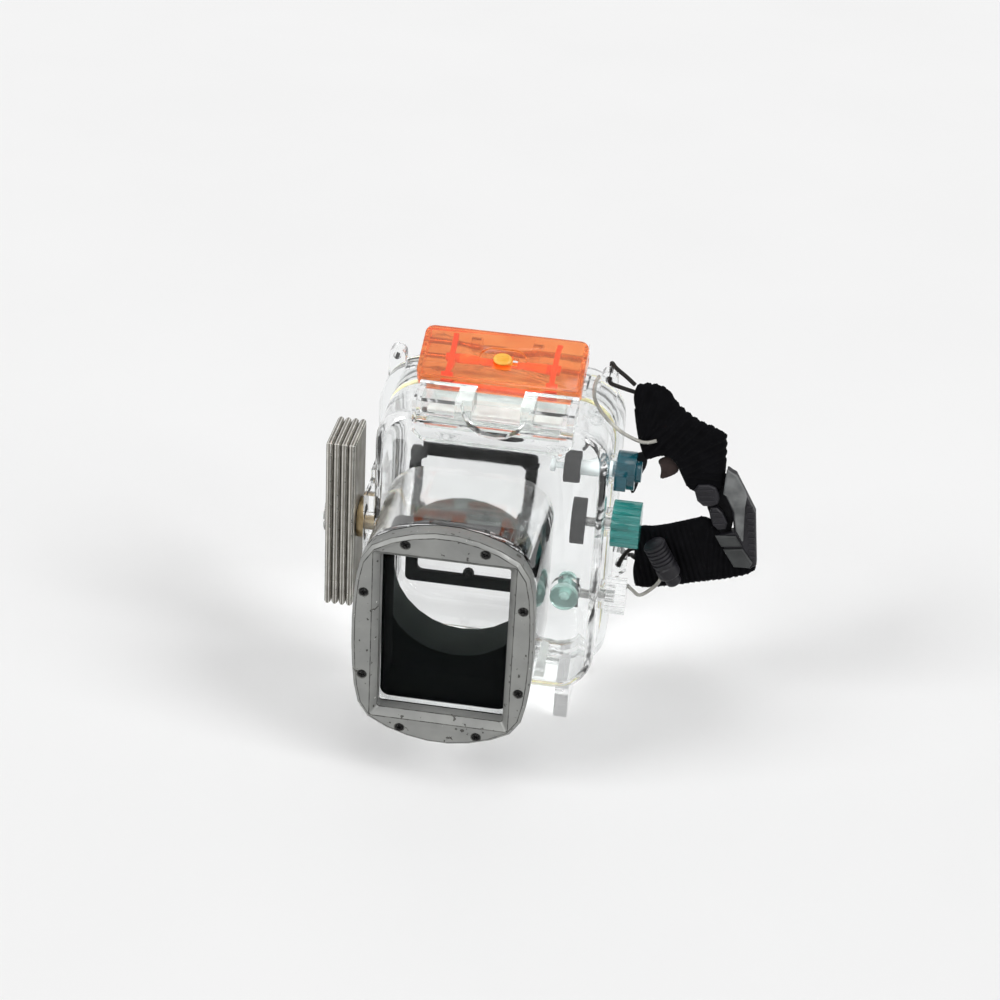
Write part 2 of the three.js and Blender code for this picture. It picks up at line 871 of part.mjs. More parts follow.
function rearShell() {
  const { doorSpans, start, end } = knuckleSpans();
  const r = hinge.doorKnuckleRadius;
  const added = [];
  doorSpans.forEach(([x0, x1]) => {
    added.push(rod('x', r, x0, x1, 0, hingeZ));
    added.push(block(x0, x1, doorFront, r, hingeZ, flangeBottom + overrun));
  });
  [-1, 1].forEach((side) => {
    const near = latchX + side * latch.earOffset - latch.earWidth / 2;
    const far = near + latch.earWidth;
    added.push(rod('x', latch.earRadius, near, far, pivotY, pivotZ));
    added.push(block(near, far, pivotY - latch.earRadius, pivotY + latch.earRadius, wallTop - overrun,
      pivotZ));
  });
  rearKeyPlaces.forEach(([x, z]) => {
    added.push(rod('y', rearKey.radius + runningGap + rearKey.guardWall, backOuter - overrun,
      backOuter + rearKey.guardHeight, x, z));
  });
  added.push(rod('y', controls.bossRadius, backOuter - overrun, backOuter + dial.seat - controls.bossGap,
    dialX, dialZ));
  const display = roundedOutline(lcdHalfWidth - lcd.windowMargin, lcdHalfHeight - lcd.windowMargin,
    lcd.corner, lcdX, lcdZ, lcd.cornerPoints);
  added.push(plateY(display, backOuter - overrun, backOuter + lcd.windowRise));

  const removed = [
    rod('x', hinge.pinRadius + runningGap, start - overrun, end + overrun, 0, hingeZ),
    rod('x', latch.pinRadius + runningGap, latchX - latch.halfWidth, latchX + latch.halfWidth, pivotY,
      pivotZ),
    rod('y', controls.shaftRadius + runningGap, backInner - overrun, backOuter + dial.seat + overrun,
      dialX, dialZ),
  ];
  rearKeyPlaces.forEach(([x, z]) => {
    removed.push(rod('y', rearKey.shaftRadius + runningGap, backInner - overrun, backOuter + overrun, x, z,
      smallSides));
    removed.push(rod('y', rearKey.radius + runningGap, backOuter, backOuter + rearKey.guardHeight + overrun,
      x, z));
  });
  return cut(join(cut(rearShellSkin(), latchRecess()), ...added), ...removed);
}

function mainORing() {
  const middleInset = body.wall - seal.landWidth - seal.grooveWidth / 2;
  const centreY = seal.faceGap + sealRadius;
  return loft(Array.from({ length: seal.sides }, (_, i) => {
    const angle = (i / seal.sides) * 2 * Math.PI;
    return ringAt(centreY + sealRadius * Math.sin(angle),
      bodyOutline(middleInset + sealRadius * Math.cos(angle)));
  }));
}

// Port

function portFrame() {
  const outline = (inset) => bowedOutline(port.frameHalfWidth - inset, port.frameHalfHeight - inset);
  const front = -port.reach;
  const throat = portRectangle(throatHalfWidth, throatHalfHeight, port.mouthCorner);
  const frame = loft([
    ringAt(frameBack, outline(0)),
    ringAt(front + port.frameBevel, outline(0)),
    ringAt(front, outline(port.frameBevel)),
    ringAt(front, portRectangle(mouthHalfWidth, mouthHalfHeight, port.mouthCorner)),
    ringAt(front + port.chamferDepth, throat),
    ringAt(frameBack, throat),
  ]);
  const holes = screwPlaces.flatMap(([x, z]) => [
    rod('y', portScrew.shankRadius + runningGap, front - overrun, frameBack + overrun, x, z, smallSides),
    rod('y', portScrew.headRadius + runningGap, front - runningGap,
      front + portScrew.recess + portScrew.headDepth, x, z, smallSides, portScrew.shankRadius + runningGap),
  ]);
  return cut(frame, ...holes);
}

function portGasket() {
  const inset = port.flangeInset / 2;
  const boltRadius = portScrew.shankRadius + runningGap;
  const holes = screwPlaces.map(([x, z]) => circleOutline(boltRadius, x, z, smallSides));
  holes.push(portRectangle(throatHalfWidth + runningGap, throatHalfHeight + runningGap, port.mouthCorner));
  return plateY(bowedOutline(port.frameHalfWidth - inset, port.frameHalfHeight - inset), frameBack,
    portFlangeFront, holes);
}

function portHood() {
  const front = windowBack + runningGap;
  const along = (share) => frontFace + share * (front - frontFace);
  const rectangleEnd = along(hoodShares.rectangleEnd);
  const shell = (inset, tubeInset, ys) => {
    const rectangle = portRectangle(hoodHalfWidth - inset, hoodHalfHeight - inset, hood.corner - inset);
    const radius = hoodTubeRadius - tubeInset;
    const circle = portRectangle(radius, radius, radius);
    return ys.map((y) => ringAt(y, y <= rectangleEnd ? rectangle : circle));
  };
  const ys = [front, rectangleEnd, along(hoodShares.tubeFront), along(hoodShares.tubeBack)];
  return loft([...shell(0, 0, ys), ...shell(hood.wall, hood.tubeWall, [...ys].reverse())]);
}

function portScrewGeometry() {
  const { headRadius, headDepth, shankRadius, length } = portScrew;
  const profile = [
    [0, 0],
    [shankRadius, 0],
    [shankRadius, length - headDepth],
    [headRadius, length],
    [0, length],
  ].map(([x, y]) => new THREE.Vector2(x, y));
  return new THREE.LatheGeometry(profile, smallSides).rotateX(Math.PI);
}

// Latch, drawn flat with its pivot at the origin and its front towards -Y, then tilted

function latchCover() {
  const { halfWidth, rearReach, frontReach, top, wall, skirtBottom } = latch;
  const depthHalf = (frontReach + rearReach) / 2;
  const middle = (rearReach - frontReach) / 2;
  const outline = roundedOutline(halfWidth, depthHalf, latch.cornerRadius, 0, -middle);
  const shape = outlineToShape(outline);
  const lid = new THREE.ExtrudeGeometry(shape, { depth: top - skirtBottom, bevelEnabled: false })
    .rotateY(Math.PI).rotateZ(Math.PI).translate(0, 0, top);
  const hollow = block(-halfWidth + wall, halfWidth - wall, -frontReach + wall, rearReach + overrun,
    skirtBottom - overrun, top - wall);
  const rearGap = block(-halfWidth - overrun, halfWidth + overrun, latch.pinRadius + wall,
    rearReach + overrun, skirtBottom - overrun, top - wall);
  const oval = roundedOutline(latch.recessHalfLength, latch.recessHalfWidth, latch.recessHalfWidth, 0,
    -latch.recessCentre);
  const recess = plateZ(oval, top - latch.recessDepth, top + overrun);
  const stemHalf = lock.stem / 2 + runningGap;
  const slot = block(-stemHalf, stemHalf + lock.travel, -latch.recessCentre - stemHalf,
    -latch.recessCentre + stemHalf, top - wall - overrun, top);
  const bores = [
    rod('x', latch.pinRadius + runningGap, -halfWidth - overrun, halfWidth + overrun, 0, 0),
    rod('x', claw.pinRadius + runningGap, -halfWidth - overrun, halfWidth + overrun, -claw.pinReach,
      claw.pinHeight, smallSides),
  ];
  const cheeks = [-1, 1].map((side) => {
    const x = side * (halfWidth - wall / 2);
    return rod('x', latch.pinRadius + wall, x - wall / 2, x + wall / 2, 0, 0);
  });
  return cut(join(cut(lid, hollow, rearGap), ...cheeks), recess, slot, ...bores);
}

function latchClaw() {
  const { pinReach, pinHeight, front, tipLength, tipBottom, frontTop, armBottom } = claw;
  const halfBar = claw.offset + claw.tipWidth / 2;
  const parts = [rod('x', claw.barrelRadius, -halfBar, halfBar, -pinReach, pinHeight)];
  [-1, 1].forEach((side) => {
    const x = side * claw.offset;
    const rib = claw.ribWidth / 2;
    const tip = claw.tipWidth / 2;
    parts.push(block(x - rib, x + rib, -front, -pinReach, armBottom, frontTop));
    parts.push(block(x - rib, x + rib, -pinReach, claw.rear, claw.rearBottom, claw.rearTop));
    parts.push(block(x - tip, x + tip, -front, -front + tipLength, tipBottom, frontTop));
  });
  parts.push(block(-claw.offset, claw.offset, -front, -front + claw.barThickness, armBottom,
    armBottom + claw.barThickness));
  return cut(join(...parts), rod('x', claw.pinRadius + runningGap, -halfBar - overrun, halfBar + overrun,
    -pinReach, pinHeight, smallSides));
}

function latchLock() {
  const floor = latch.top - latch.recessDepth + runningGap;
  const under = latch.top - latch.wall - runningGap;
  const centre = -latch.recessCentre;
  const half = lock.stem / 2;
  return join(
    plateZ(roundedOutline(lock.halfLength, lock.halfWidth, lock.corner, 0, centre), floor,
      floor + lock.height),
    block(-half, half, centre - half, centre + half, under - lock.footThickness / 2, floor + lock.height / 2),
    block(-lock.footHalf, lock.footHalf, centre - lock.footHalf, centre + lock.footHalf,
      under - lock.footThickness, under));
}

// Left side

function tripodBushing() {
  const y = -weights.depth;
  return cut(
    join(rod('x', bushing.radius, bossFace - overrun, bossFace + bushingDepth - runningGap, y, bossZ),
      rod('x', bushing.flangeRadius, bossFace - bushing.flangeThickness, bossFace, y, bossZ)),
    rod('x', bushing.boreRadius, bossFace - bushing.flangeThickness - overrun,
      bossFace + bushingDepth - overrun, y, bossZ));
}

function weightPlate(index) {
  const { thickness, depth, height, width, chamfer } = weights;
  const right = bossFace - bushing.flangeThickness - runningGap - index * (thickness + runningGap);
  const left = right - thickness;
  const y0 = -depth - width / 2;
  const y1 = -depth + width / 2;
  const bottom = bossZ - weights.below;
  const top = bottom + height;
  const ring = (x, inset) => [
    [x, y0 + inset, bottom + inset],
    [x, y1 - inset, bottom + inset],
    [x, y1 - inset, top - inset],
    [x, y0 + inset, top - inset],
  ];
  const slab = loft([
    ring(left, chamfer),
    ring(left + chamfer, 0),
    ring(right - chamfer, 0),
    ring(right, chamfer),
  ], true);
  return cut(slab, rod('x', weightScrew.shankRadius + runningGap, left - overrun, right + overrun, -depth,
    bossZ));
}

function weightScrewGeometry() {
  const { shankRadius, headRadius, headThickness, slotWidth, slotDepth, engagement } = weightScrew;
  const y = -weights.depth;
  const face = screwHeadBack - headThickness;
  const head = rod('x', headRadius, face, screwHeadBack, y, bossZ);
  const slot = block(face - overrun, face + slotDepth, y - headRadius - overrun, y + headRadius + overrun,
    bossZ - slotWidth / 2, bossZ + slotWidth / 2);
  const shank = rod('x', shankRadius, screwHeadBack - overrun, bossFace + engagement, y, bossZ);
  return cut(join(head, shank), slot);
}

// Right side controls

function zoomLever() {
  const end = controlFace + zoom.length;
  const z = heightOf(zoom);
  const tab = block(controlFace, end - zoom.capRecess, controlY - zoom.tabReach, controlY,
    z - zoom.tabWidth / 2, z + zoom.tabWidth / 2);
  const hubEnd = wallRight - zoom.wheelInset + zoom.wheelLength / 2;
  return cut(
    join(rod('x', zoom.radius, controlFace, end, controlY, z), tab,
      rod('x', zoom.hubRadius, hubEnd, controlFace + overrun, controlY, z)),
    rod('x', zoom.boreRadius, hubEnd - overrun, end + overrun, controlY, z, smallSides),
    rod('x', zoom.capRecessRadius, end - zoom.capRecess - runningGap, end + overrun, controlY, z));
}

function wheel(control, boreRadius, through) {
  const z = heightOf(control);
  const start = wallRight - control.wheelInset;
  const end = start + control.wheelLength;
  return cut(rod('x', control.wheelRadius, start, end, controlY, z),
    rod('x', boreRadius, through ? start - overrun : start + overrun, end + overrun, controlY, z));
}

function shutterButton() {
  const z = heightOf(zoom);
  const capStart = controlFace + zoom.length - zoom.capRecess + shutter.travel;
  const stemEnd = wallRight - shutter.stemInset;
  return join(
    rod('x', shutter.radius, capStart, capStart + shutter.capThickness, controlY, z),
    rod('x', shutter.stemRadius, stemEnd, capStart + overrun, controlY, z, smallSides),
    rod('x', shutter.tipRadius, stemEnd - shutter.tipThickness / 2, stemEnd + shutter.tipThickness / 2,
      controlY, z, smallSides));
}

function knob(control) {
  const end = controlFace + control.length;
  const z = heightOf(control);
  const outline = flutedOutline(control.radius, control.fluteDepth, control.flutes, controlY, z);
  return cut(plateX(outline, controlFace, end),
    rod('x', controls.shaftRadius + runningGap, controlFace - overrun, end - control.seat + runningGap,
      controlY, z));
}

function shaft(control) {
  return rod('x', controls.shaftRadius, wallRight - control.wheelInset + overrun + runningGap,
    controlFace + control.length - control.seat, controlY, heightOf(control));
}

// A push button along Y: a cap outside, a stem through the wall and a pad inside.
function pushButton(x, z, spec, stemRadius, capNear, capFar, padNear, padFar) {
  return join(
    rod('y', spec.radius, Math.min(capNear, capFar), Math.max(capNear, capFar), x, z),
    rod('y', stemRadius, Math.min(capNear, padNear) - overrun / 2, Math.max(capNear, padNear) + overrun / 2,
      x, z, smallSides),
    rod('y', spec.padRadius, Math.min(padNear, padFar), Math.max(padNear, padFar), x, z));
}

// Rear controls

function controlDial() {
  const start = backOuter + dial.seat;
  const knobPlate = plateY(flutedOutline(dial.radius, dial.fluteDepth, dial.flutes, dialX, dialZ), start,
    start + dial.thickness);
  return join(knobPlate, rod('y', controls.shaftRadius, backInner - dial.wheelGap - dial.wheelThickness / 2,
    start + overrun, dialX, dialZ));
}

function controlWheel() {
  const end = backInner - dial.wheelGap;
  const start = end - dial.wheelThickness;
  return cut(rod('y', dial.wheelRadius, start, end, dialX, dialZ),
    rod('y', controls.shaftRadius + runningGap, start + dial.wheelThickness / 2 - runningGap, end + overrun,
      dialX, dialZ));
}

function lcdMask() {
  const openHalfWidth = lcdHalfWidth - lcd.borderX;
  const openHalfHeight = lcdHalfHeight - lcd.borderZ;
  const back = backInner - lcd.standOff;
  const front = back - lcd.thickness;
  const outer = roundedOutline(lcdHalfWidth, lcdHalfHeight, lcd.corner, lcdX, lcdZ, lcd.cornerPoints);
  const inner = roundedOutline(openHalfWidth, openHalfHeight, lcd.corner, lcdX, lcdZ, lcd.cornerPoints);
  const tabPlaces = [
    [lcdX - openHalfWidth, lcdZ],
    [lcdX + openHalfWidth, lcdZ],
    [lcdX, lcdZ - openHalfHeight],
  ];
  const tabs = tabPlaces.map(([x, z]) => rod('y', lcd.tabRadius, front, backInner, x, z, smallSides));
  const bores = tabPlaces.map(([x, z]) => rod('y', lcd.tabBore, front - overrun, backInner + overrun, x, z,
    smallSides));
  return cut(join(plateY(outer, front, back, [inner]), ...tabs), ...bores);
}

// Wrist strap. Its outlines lie in X and Z, in shares of the strap's width and rise.

const strapShares = {
  upper: [
    [0.000, 0.992], [0.106, 1.000], [0.221, 0.990], [0.395, 0.875], [0.557, 0.840], [0.662, 0.810],
    [0.688, 0.655], [0.647, 0.550], [0.479, 0.540], [0.372, 0.597], [0.252, 0.637], [0.081, 0.660],
  ],
  lower: [
    [0.113, 0.211], [0.168, 0.297], [0.491, 0.349], [0.585, 0.397], [0.657, 0.309], [0.828, 0.142],
    [0.554, 0.084], [0.238, 0.000], [0.127, 0.006],
  ],
  buckle: [
    [0.705, 0.641], [0.765, 0.620], [0.952, 0.422], [1.000, 0.152], [0.846, 0.144], [0.688, 0.297],
    [0.782, 0.329], [0.715, 0.446], [0.703, 0.482],
  ],
  keeperUpper: [
    [0.479, 0.536], [0.647, 0.546], [0.691, 0.451], [0.544, 0.433],
  ],
  keeperLower: [
    [0.581, 0.433], [0.705, 0.448], [0.770, 0.339], [0.671, 0.318],
  ],
};

function strapPiece(outline, thickness) {
  const points = outline.map(([across, up]) => [
    strapLeft + across * strap.width,
    strapBottom + up * strapRise,
  ]);
  return plateY(points, -strap.depth - thickness / 2, -strap.depth + thickness / 2);
}

function routeFrom(anchor, stepShares) {
  return stepShares.map((step) => step.map((share, i) => anchor[i] + share * strap.routeLength));
}

// Routes of the cords, as steps from the lug that holds each or from the strap's corners, in
// shares of the route length.
const strapTopCorner = [strapLeft, -strap.depth, strapTop];
const strapBottomCorner = [strapLeft, -strap.depth, strapBottom];
const rightLugCentre = [rightLugX, lugMiddleY, lugZ];
const sideLugCentre = [sideLugX, lugMiddleY, sideLugZ];
const cordRouteShares = {
  upperCord: [
    ...routeFrom(strapTopCorner, [[-0.07, 0.08, -0.17]]),
    ...routeFrom(rightLugCentre, [[0.7, -0.58, 0.39], [0.27, -0.25, 0.53], [0.03, 0.25, 0.51],
      [-0.01, 0.52, 0.25], [-0.01, 0.36, 0.01], [0, 0, -0.01], [0.07, -0.44, -0.06], [0.5, -0.74, -0.05]]),
    ...routeFrom(strapTopCorner, [[-0.04, -0.1, -0.41]]),
  ],
  lowerCord: [
    ...routeFrom(strapBottomCorner, [[0.59, 0.07, 1.84]]),
    ...routeFrom(sideLugCentre, [[0.415, -0.59, 0.98], [0.115, -0.57, 0.5], [0.015, -0.58, 0.14], [0, 0, 0],
      [0.035, 0.46, -0.02], [0.335, 0.5, 0.06], [0.515, 0.2, 0.26], [0.555, -0.3, 0.5]]),
    ...routeFrom(strapBottomCorner, [[0.59, -0.02, 1.43]]),
  ],
  upperTether: routeFrom(rightLugCentre, [[-0.47, 0.15, -0.13], [-0.53, -0.45, -0.11], [-0.55, -0.7, -0.35],
    [-0.47, -0.74, -0.81], [-0.07, -0.74, -1.43], [0.56, -0.72, -2.03], [1.11, -0.84, -2.27],
    [1.72, -1.04, -2.34], [2.23, -1.04, -2.19]]),
  lowerTether: routeFrom(sideLugCentre, [[-0.075, 0, -0.72], [0.035, -0.38, -0.8], [0.415, -0.4, -0.92],
    [0.715, -0.7, -0.98], [1.055, -1.04, -0.96], [1.525, -1.04, -0.58], [1.855, -1.04, -0.1],
    [1.815, -1.04, 0.28], [1.615, -1.04, 0.56]]),
};

function cordLockBarrel() {
  return cut(rod('x', cordLock.radius, 0, cordLock.length, 0, 0),
    rod('x', cordLock.boreRadius, cordLock.length - cordLock.boreDepth, cordLock.length + overrun, 0, 0));
}

function cordLockPlunger() {
  return rod('x', cordLock.stemRadius, cordLock.length - cordLock.stemDepth,
    cordLock.length + cordLock.proud, 0, 0);
}

// Build

place('front_shell', frontShell(), clearPlastic);
place('rear_shell', rearShell(), clearPlastic);
place('main_o_ring', mainORing(), sealRubber);
const hingeSpan = knuckleSpans();
place('hinge_pin', rod('x', hinge.pinRadius, hingeSpan.start, hingeSpan.end, 0, hingeZ), steel);

place('port_frame', portFrame(), frameMetal);
place('port_gasket', portGasket(), blackRubber);
const pane = portRectangle(windowHalfWidth, windowHalfHeight, port.windowCorner);
place('port_window', plateY(pane, windowFront, windowBack), windowGlass);
place('port_hood', portHood(), blackPlastic);
screwPlaces.forEach(([x, z], i) => {
  const screw = place(`port_screw_${i + 1}`, portScrewGeometry(), darkSteel);
  screw.position.set(x, -port.reach + portScrew.recess + portScrew.length, z);
});

const latchGroup = new THREE.Group();
latchGroup.position.set(latchX, pivotY, pivotZ);
latchGroup.rotation.x = THREE.MathUtils.degToRad(latch.tiltDegrees);
housing.add(latchGroup);
place('latch_cover', latchCover(), orangePlastic, latchGroup);
place('latch_claw', latchClaw(), redPlastic, latchGroup);
place('latch_lock', latchLock(), yellowPlastic, latchGroup);
const pinHalf = latch.halfWidth - latch.wall / 2;
place('latch_pin', rod('x', latch.pinRadius, -pinHalf, pinHalf, 0, 0), steel, latchGroup);
place('claw_pin', rod('x', claw.pinRadius, -pinHalf, pinHalf, -claw.pinReach, claw.pinHeight, smallSides),
  steel, latchGroup);

place('tripod_bushing', tripodBushing(), brassMetal);
for (let i = 0; i < weights.count; i += 1) {
  place(`weight_plate_${i + 1}`, weightPlate(i), plateMetal);
}
place('weight_screw', weightScrewGeometry(), steel);

place('zoom_lever', zoomLever(), tealPlastic);
place('zoom_wheel', wheel(zoom, zoom.hubRadius + runningGap, true), blackRubber);
place('shutter_button', shutterButton(), tealPlastic);
place('mode_knob', knob(mode), greenPlastic);
place('mode_shaft', shaft(mode), steel);
place('mode_wheel', wheel(mode, controls.shaftRadius + runningGap, false), blackRubber);
place('exposure_knob', knob(exposure), clearPlastic);
place('exposure_shaft', shaft(exposure), steel);
place('exposure_wheel', wheel(exposure, controls.shaftRadius + runningGap, false), greyRubber);

const frontCapBack = frontFace - controls.bossHeight - frontButton.travel - runningGap;
const frontPadFace = frontInner + frontButton.padGap;
place('front_button', pushButton(frontButtonX, frontButtonZ, frontButton, controls.shaftRadius,
  frontCapBack, frontCapBack - frontButton.thickness, frontPadFace, frontPadFace + frontButton.padThickness),
tealPlastic);

place('lcd_mask', lcdMask(), blackPlastic);
place('control_dial', controlDial(), clearPlastic);
place('control_wheel', controlWheel(), blackRubber);
rearKeyPlaces.forEach(([x, z], i) => {
  const capStart = backOuter + rearKey.travel + runningGap;
  const padBack = backInner - rearKey.padGap;
  place(`rear_button_${i + 1}`, pushButton(x, z, rearKey, rearKey.shaftRadius, capStart,
    capStart + rearKey.thickness, padBack, padBack - rearKey.padThickness), clearPlastic);
});

const padLeft = centreX - pad.halfWidth;
const padRight = centreX + pad.halfWidth;
const padFront = frontInner + body.insideFillet + pad.frontGap;
place('lower_pad', block(padLeft, padRight, padFront, -pad.back, cavityBottom, cavityBottom + pad.thickness),
  greyRubber);
place('upper_pad', block(padLeft, padRight, padFront, -pad.back, cavityTop - pad.thickness, cavityTop),
  greyRubber);

place('strap_upper', strapPiece(strapShares.upper, strap.thickness), neoprene);
place('strap_lower', strapPiece(strapShares.lower, strap.thickness), neoprene);
place('strap_buckle', strapPiece(strapShares.buckle, strap.buckleThickness), bucklePlastic);
place('strap_keeper_upper', strapPiece(strapShares.keeperUpper, strap.keeperThickness), bucklePlastic);
place('strap_keeper_lower', strapPiece(strapShares.keeperLower, strap.keeperThickness), bucklePlastic);

const lockGroup = new THREE.Group();
lockGroup.position.set(strapLeft + cordLock.acrossShare * strap.width,
  -strap.depth - strap.thickness / 2 - runningGap - cordLock.radius,
  strapBottom + cordLock.upShare * strapRise);
lockGroup.rotation.y = THREE.MathUtils.degToRad(cordLock.tiltDegrees);
housing.add(lockGroup);
place('cord_lock', cordLockBarrel(), blackPlastic, lockGroup);
place('cord_lock_plunger', cordLockPlunger(), bucklePlastic, lockGroup);

const cord = (route) => tubeAlong(route, strap.cordRadius, strap.cordSteps);
const tether = (route) => tubeAlong(route, strap.tetherRadius, strap.tetherSteps);
place('upper_cord', cord(cordRouteShares.upperCord), neoprene);
place('lower_cord', cord(cordRouteShares.lowerCord), neoprene);
place('upper_tether', tether(cordRouteShares.upperTether), tetherPlastic);
place('lower_tether', tether(cordRouteShares.lowerTether), tetherPlastic);

export default housing;
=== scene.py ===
import math

import bmesh
import bpy
from bpy.props import FloatProperty, FloatVectorProperty, PointerProperty
from mathutils import Matrix, Vector
from mathutils.geometry import delaunay_2d_cdt


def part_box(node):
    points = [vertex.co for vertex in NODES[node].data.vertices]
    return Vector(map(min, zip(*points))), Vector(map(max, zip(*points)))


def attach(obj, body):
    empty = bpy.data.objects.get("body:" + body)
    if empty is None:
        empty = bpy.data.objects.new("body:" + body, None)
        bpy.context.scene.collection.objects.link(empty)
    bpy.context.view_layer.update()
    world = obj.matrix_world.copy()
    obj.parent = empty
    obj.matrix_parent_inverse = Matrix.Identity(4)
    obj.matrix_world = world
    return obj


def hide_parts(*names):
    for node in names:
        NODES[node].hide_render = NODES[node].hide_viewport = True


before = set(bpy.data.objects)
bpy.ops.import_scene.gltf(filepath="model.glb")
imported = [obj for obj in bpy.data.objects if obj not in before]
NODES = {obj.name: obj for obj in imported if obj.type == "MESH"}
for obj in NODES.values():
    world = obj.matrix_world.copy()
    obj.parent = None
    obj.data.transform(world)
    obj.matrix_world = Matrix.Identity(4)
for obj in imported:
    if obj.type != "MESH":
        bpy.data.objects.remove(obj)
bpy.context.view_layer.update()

bl_info = {
    "name": "Underwater Camera Housing Looks",
    "version": (1, 0, 0),
    "blender": (4, 5, 0),
    "location": "View3D > Sidebar > Housing",
    "description": "Dresses the packed housing: clear shells, latch, port, ballast, controls and wrist strap",
    "category": "Object",
}

MM = 0.001


# Colours and node helpers

def linear(hex_colour):
    """Turns an sRGB hex value into a linear colour."""
    channels = [(hex_colour >> shift & 255) / 255 for shift in (16, 8, 0)]
    return tuple(c / 12.92 if c <= 0.04045 else ((c + 0.055) / 1.055) ** 2.4 for c in channels)


def opaque(colour):
    return (*colour[:3], 1.0)


def per_mm(size):
    """The texture scale at which one feature is this many millimetres across."""
    return 1 / (size * MM)


def add_node(tree, kind, settings=None, values=None, links=None):
    node = tree.nodes.new(kind)
    for key, value in (settings or {}).items():
        setattr(node, key, value)
    for key, value in (values or {}).items():
        node.inputs[key].default_value = value
    for key, source in (links or {}).items():
        tree.links.new(source, node.inputs[key])
    return node


def start_material(name, **values):
    """A material with one Principled shader; returns it with its node tree and shader."""
    material = bpy.data.materials.new(name)
    material.use_nodes = True
    tree = material.node_tree
    tree.nodes.clear()
    values = {key.replace("_", " "): value for key, value in values.items()}
    shader = add_node(tree, "ShaderNodeBsdfPrincipled", values=values)
    add_node(tree, "ShaderNodeOutputMaterial", links={"Surface": shader.outputs[0]})
    return material, tree, shader


def noise_field(tree, size, detail=2.0, stretch=(1, 1, 1)):
    """Noise in real millimetres on the object's own coordinates; stretch lengthens it along an axis."""
    place = add_node(tree, "ShaderNodeTexCoord")
    shape = add_node(tree, "ShaderNodeMapping", values={"Scale": [1 / s for s in stretch]},
                     links={"Vector": place.outputs["Object"]})
    return add_node(tree, "ShaderNodeTexNoise", values={"Scale": per_mm(size), "Detail": detail},
                    links={"Vector": shape.outputs[0]}).outputs[0]


def relief(tree, shader, height, depth):
    """Raises the surface by a height field, depth in millimetres."""
    before = shader.inputs["Normal"].links
    bump = add_node(tree, "ShaderNodeBump", values={"Distance": depth * MM, "Strength": 1.0},
                    links={"Height": height})
    if before:
        tree.links.new(before[0].from_socket, bump.inputs["Normal"])
    tree.links.new(bump.outputs[0], shader.inputs["Normal"])


def grain(tree, shader, size, detail, depth, stretch=(1, 1, 1)):
    """Raises a fine noise; its size and depth are in millimetres."""
    relief(tree, shader, noise_field(tree, size, detail, stretch), depth)


def remap(tree, source, low, high, to_low=0.0, to_high=1.0):
    return add_node(tree, "ShaderNodeMapRange",
                    values={"From Min": low, "From Max": high, "To Min": to_low, "To Max": to_high},
                    links={"Value": source}).outputs[0]


def mix_colour(tree, factor, first, second):
    """Mixes two colours; each is an sRGB hex value, a linear colour or a socket."""
    node = add_node(tree, "ShaderNodeMix", {"data_type": "RGBA"}, links={0: factor})
    # A mix node's inputs 6 and 7 and its output 2 are the ones for colours.
    for index, colour in ((6, first), (7, second)):
        if isinstance(colour, bpy.types.NodeSocket):
            tree.links.new(colour, node.inputs[index])
        else:
            node.inputs[index].default_value = opaque(linear(colour) if isinstance(colour, int) else colour)
    return node.outputs[2]


def tint(tree, shader, size, first, second, low=0.35, high=0.65):
    """Clouds the base colour between two shades."""
    cloud = remap(tree, noise_field(tree, size, 3.0), low, high)
    colour = mix_colour(tree, cloud, first, second)
    tree.links.new(colour, shader.inputs["Base Color"])
    return colour


def beyond(tree, axis, place, width):
    """A mask that rises from 0 to 1 where the object's X, Y or Z passes a place, in millimetres."""
    spot = add_node(tree, "ShaderNodeSeparateXYZ",
                    links={0: add_node(tree, "ShaderNodeTexCoord").outputs["Object"]})
    return remap(tree, spot.outputs[axis], (place - width / 2) * MM, (place + width / 2) * MM)


def vary_roughness(tree, shader, size, low, high, stretch=(1, 1, 1)):
    field = remap(tree, noise_field(tree, size, 4.0, stretch), 0.3, 0.7, low, high)
    tree.links.new(field, shader.inputs["Roughness"])


def clouded_material(name, cloud, roughness, grains=None, **values):
    """A material with clouded colour and roughness and, where it is given, a fine grain.

    cloud, roughness and grains are what tint, vary_roughness and grain take, from the size on.
    """
    material, tree, shader = start_material(name, **values)
    tint(tree, shader, *cloud)
    vary_roughness(tree, shader, *roughness)
    if grains:
        grain(tree, shader, *grains)
    return material


# Materials, each named for what the real one is

# Size, detail and depth. The real grit is 0.05 mm; it is drawn at 0.4 mm so that it shows.
GRIT = (0.4, 3.0, 0.01)
# At this Y the hood's painted shade also gives way to the painted light in the tube.
TUBE_START = -59.3  # the Y in millimetres at which the hood turns from a rectangle into a tube
CROSS_TUBE = (-12.4, 25.2)  # the X in millimetres between which the claws' cross tube shows


def clear_polycarbonate():
    """Polycarbonate, injection moulded: clear and faintly cool, with handling haze and fine scratches."""
    finish = bpy.context.scene.housing_finish
    material, tree, shader = start_material("polycarbonate_clear_moulded", Transmission_Weight=1.0,
                                            IOR=1.585, Base_Color=opaque(finish.shell_tint))
    vary_roughness(tree, shader, 9, finish.shell_haze, finish.shell_haze * 3)
    grain(tree, shader, 18, 2.0, 0.04)
    grain(tree, shader, 0.6, 4.0, 0.004, (12, 1, 1))
    return material


def window_glass():
    """Float glass, ground and coated against reflections: clear, with hardly any mirror on it.

    A thin flat pane shifts nothing that is behind it, so only the coating's faint film is drawn.
    """
    return clouded_material("float_glass_coated", (15, 0x2C3634, 0x242C30), (6, 0.02, 0.06),
                            IOR=1.52, Alpha=0.04)


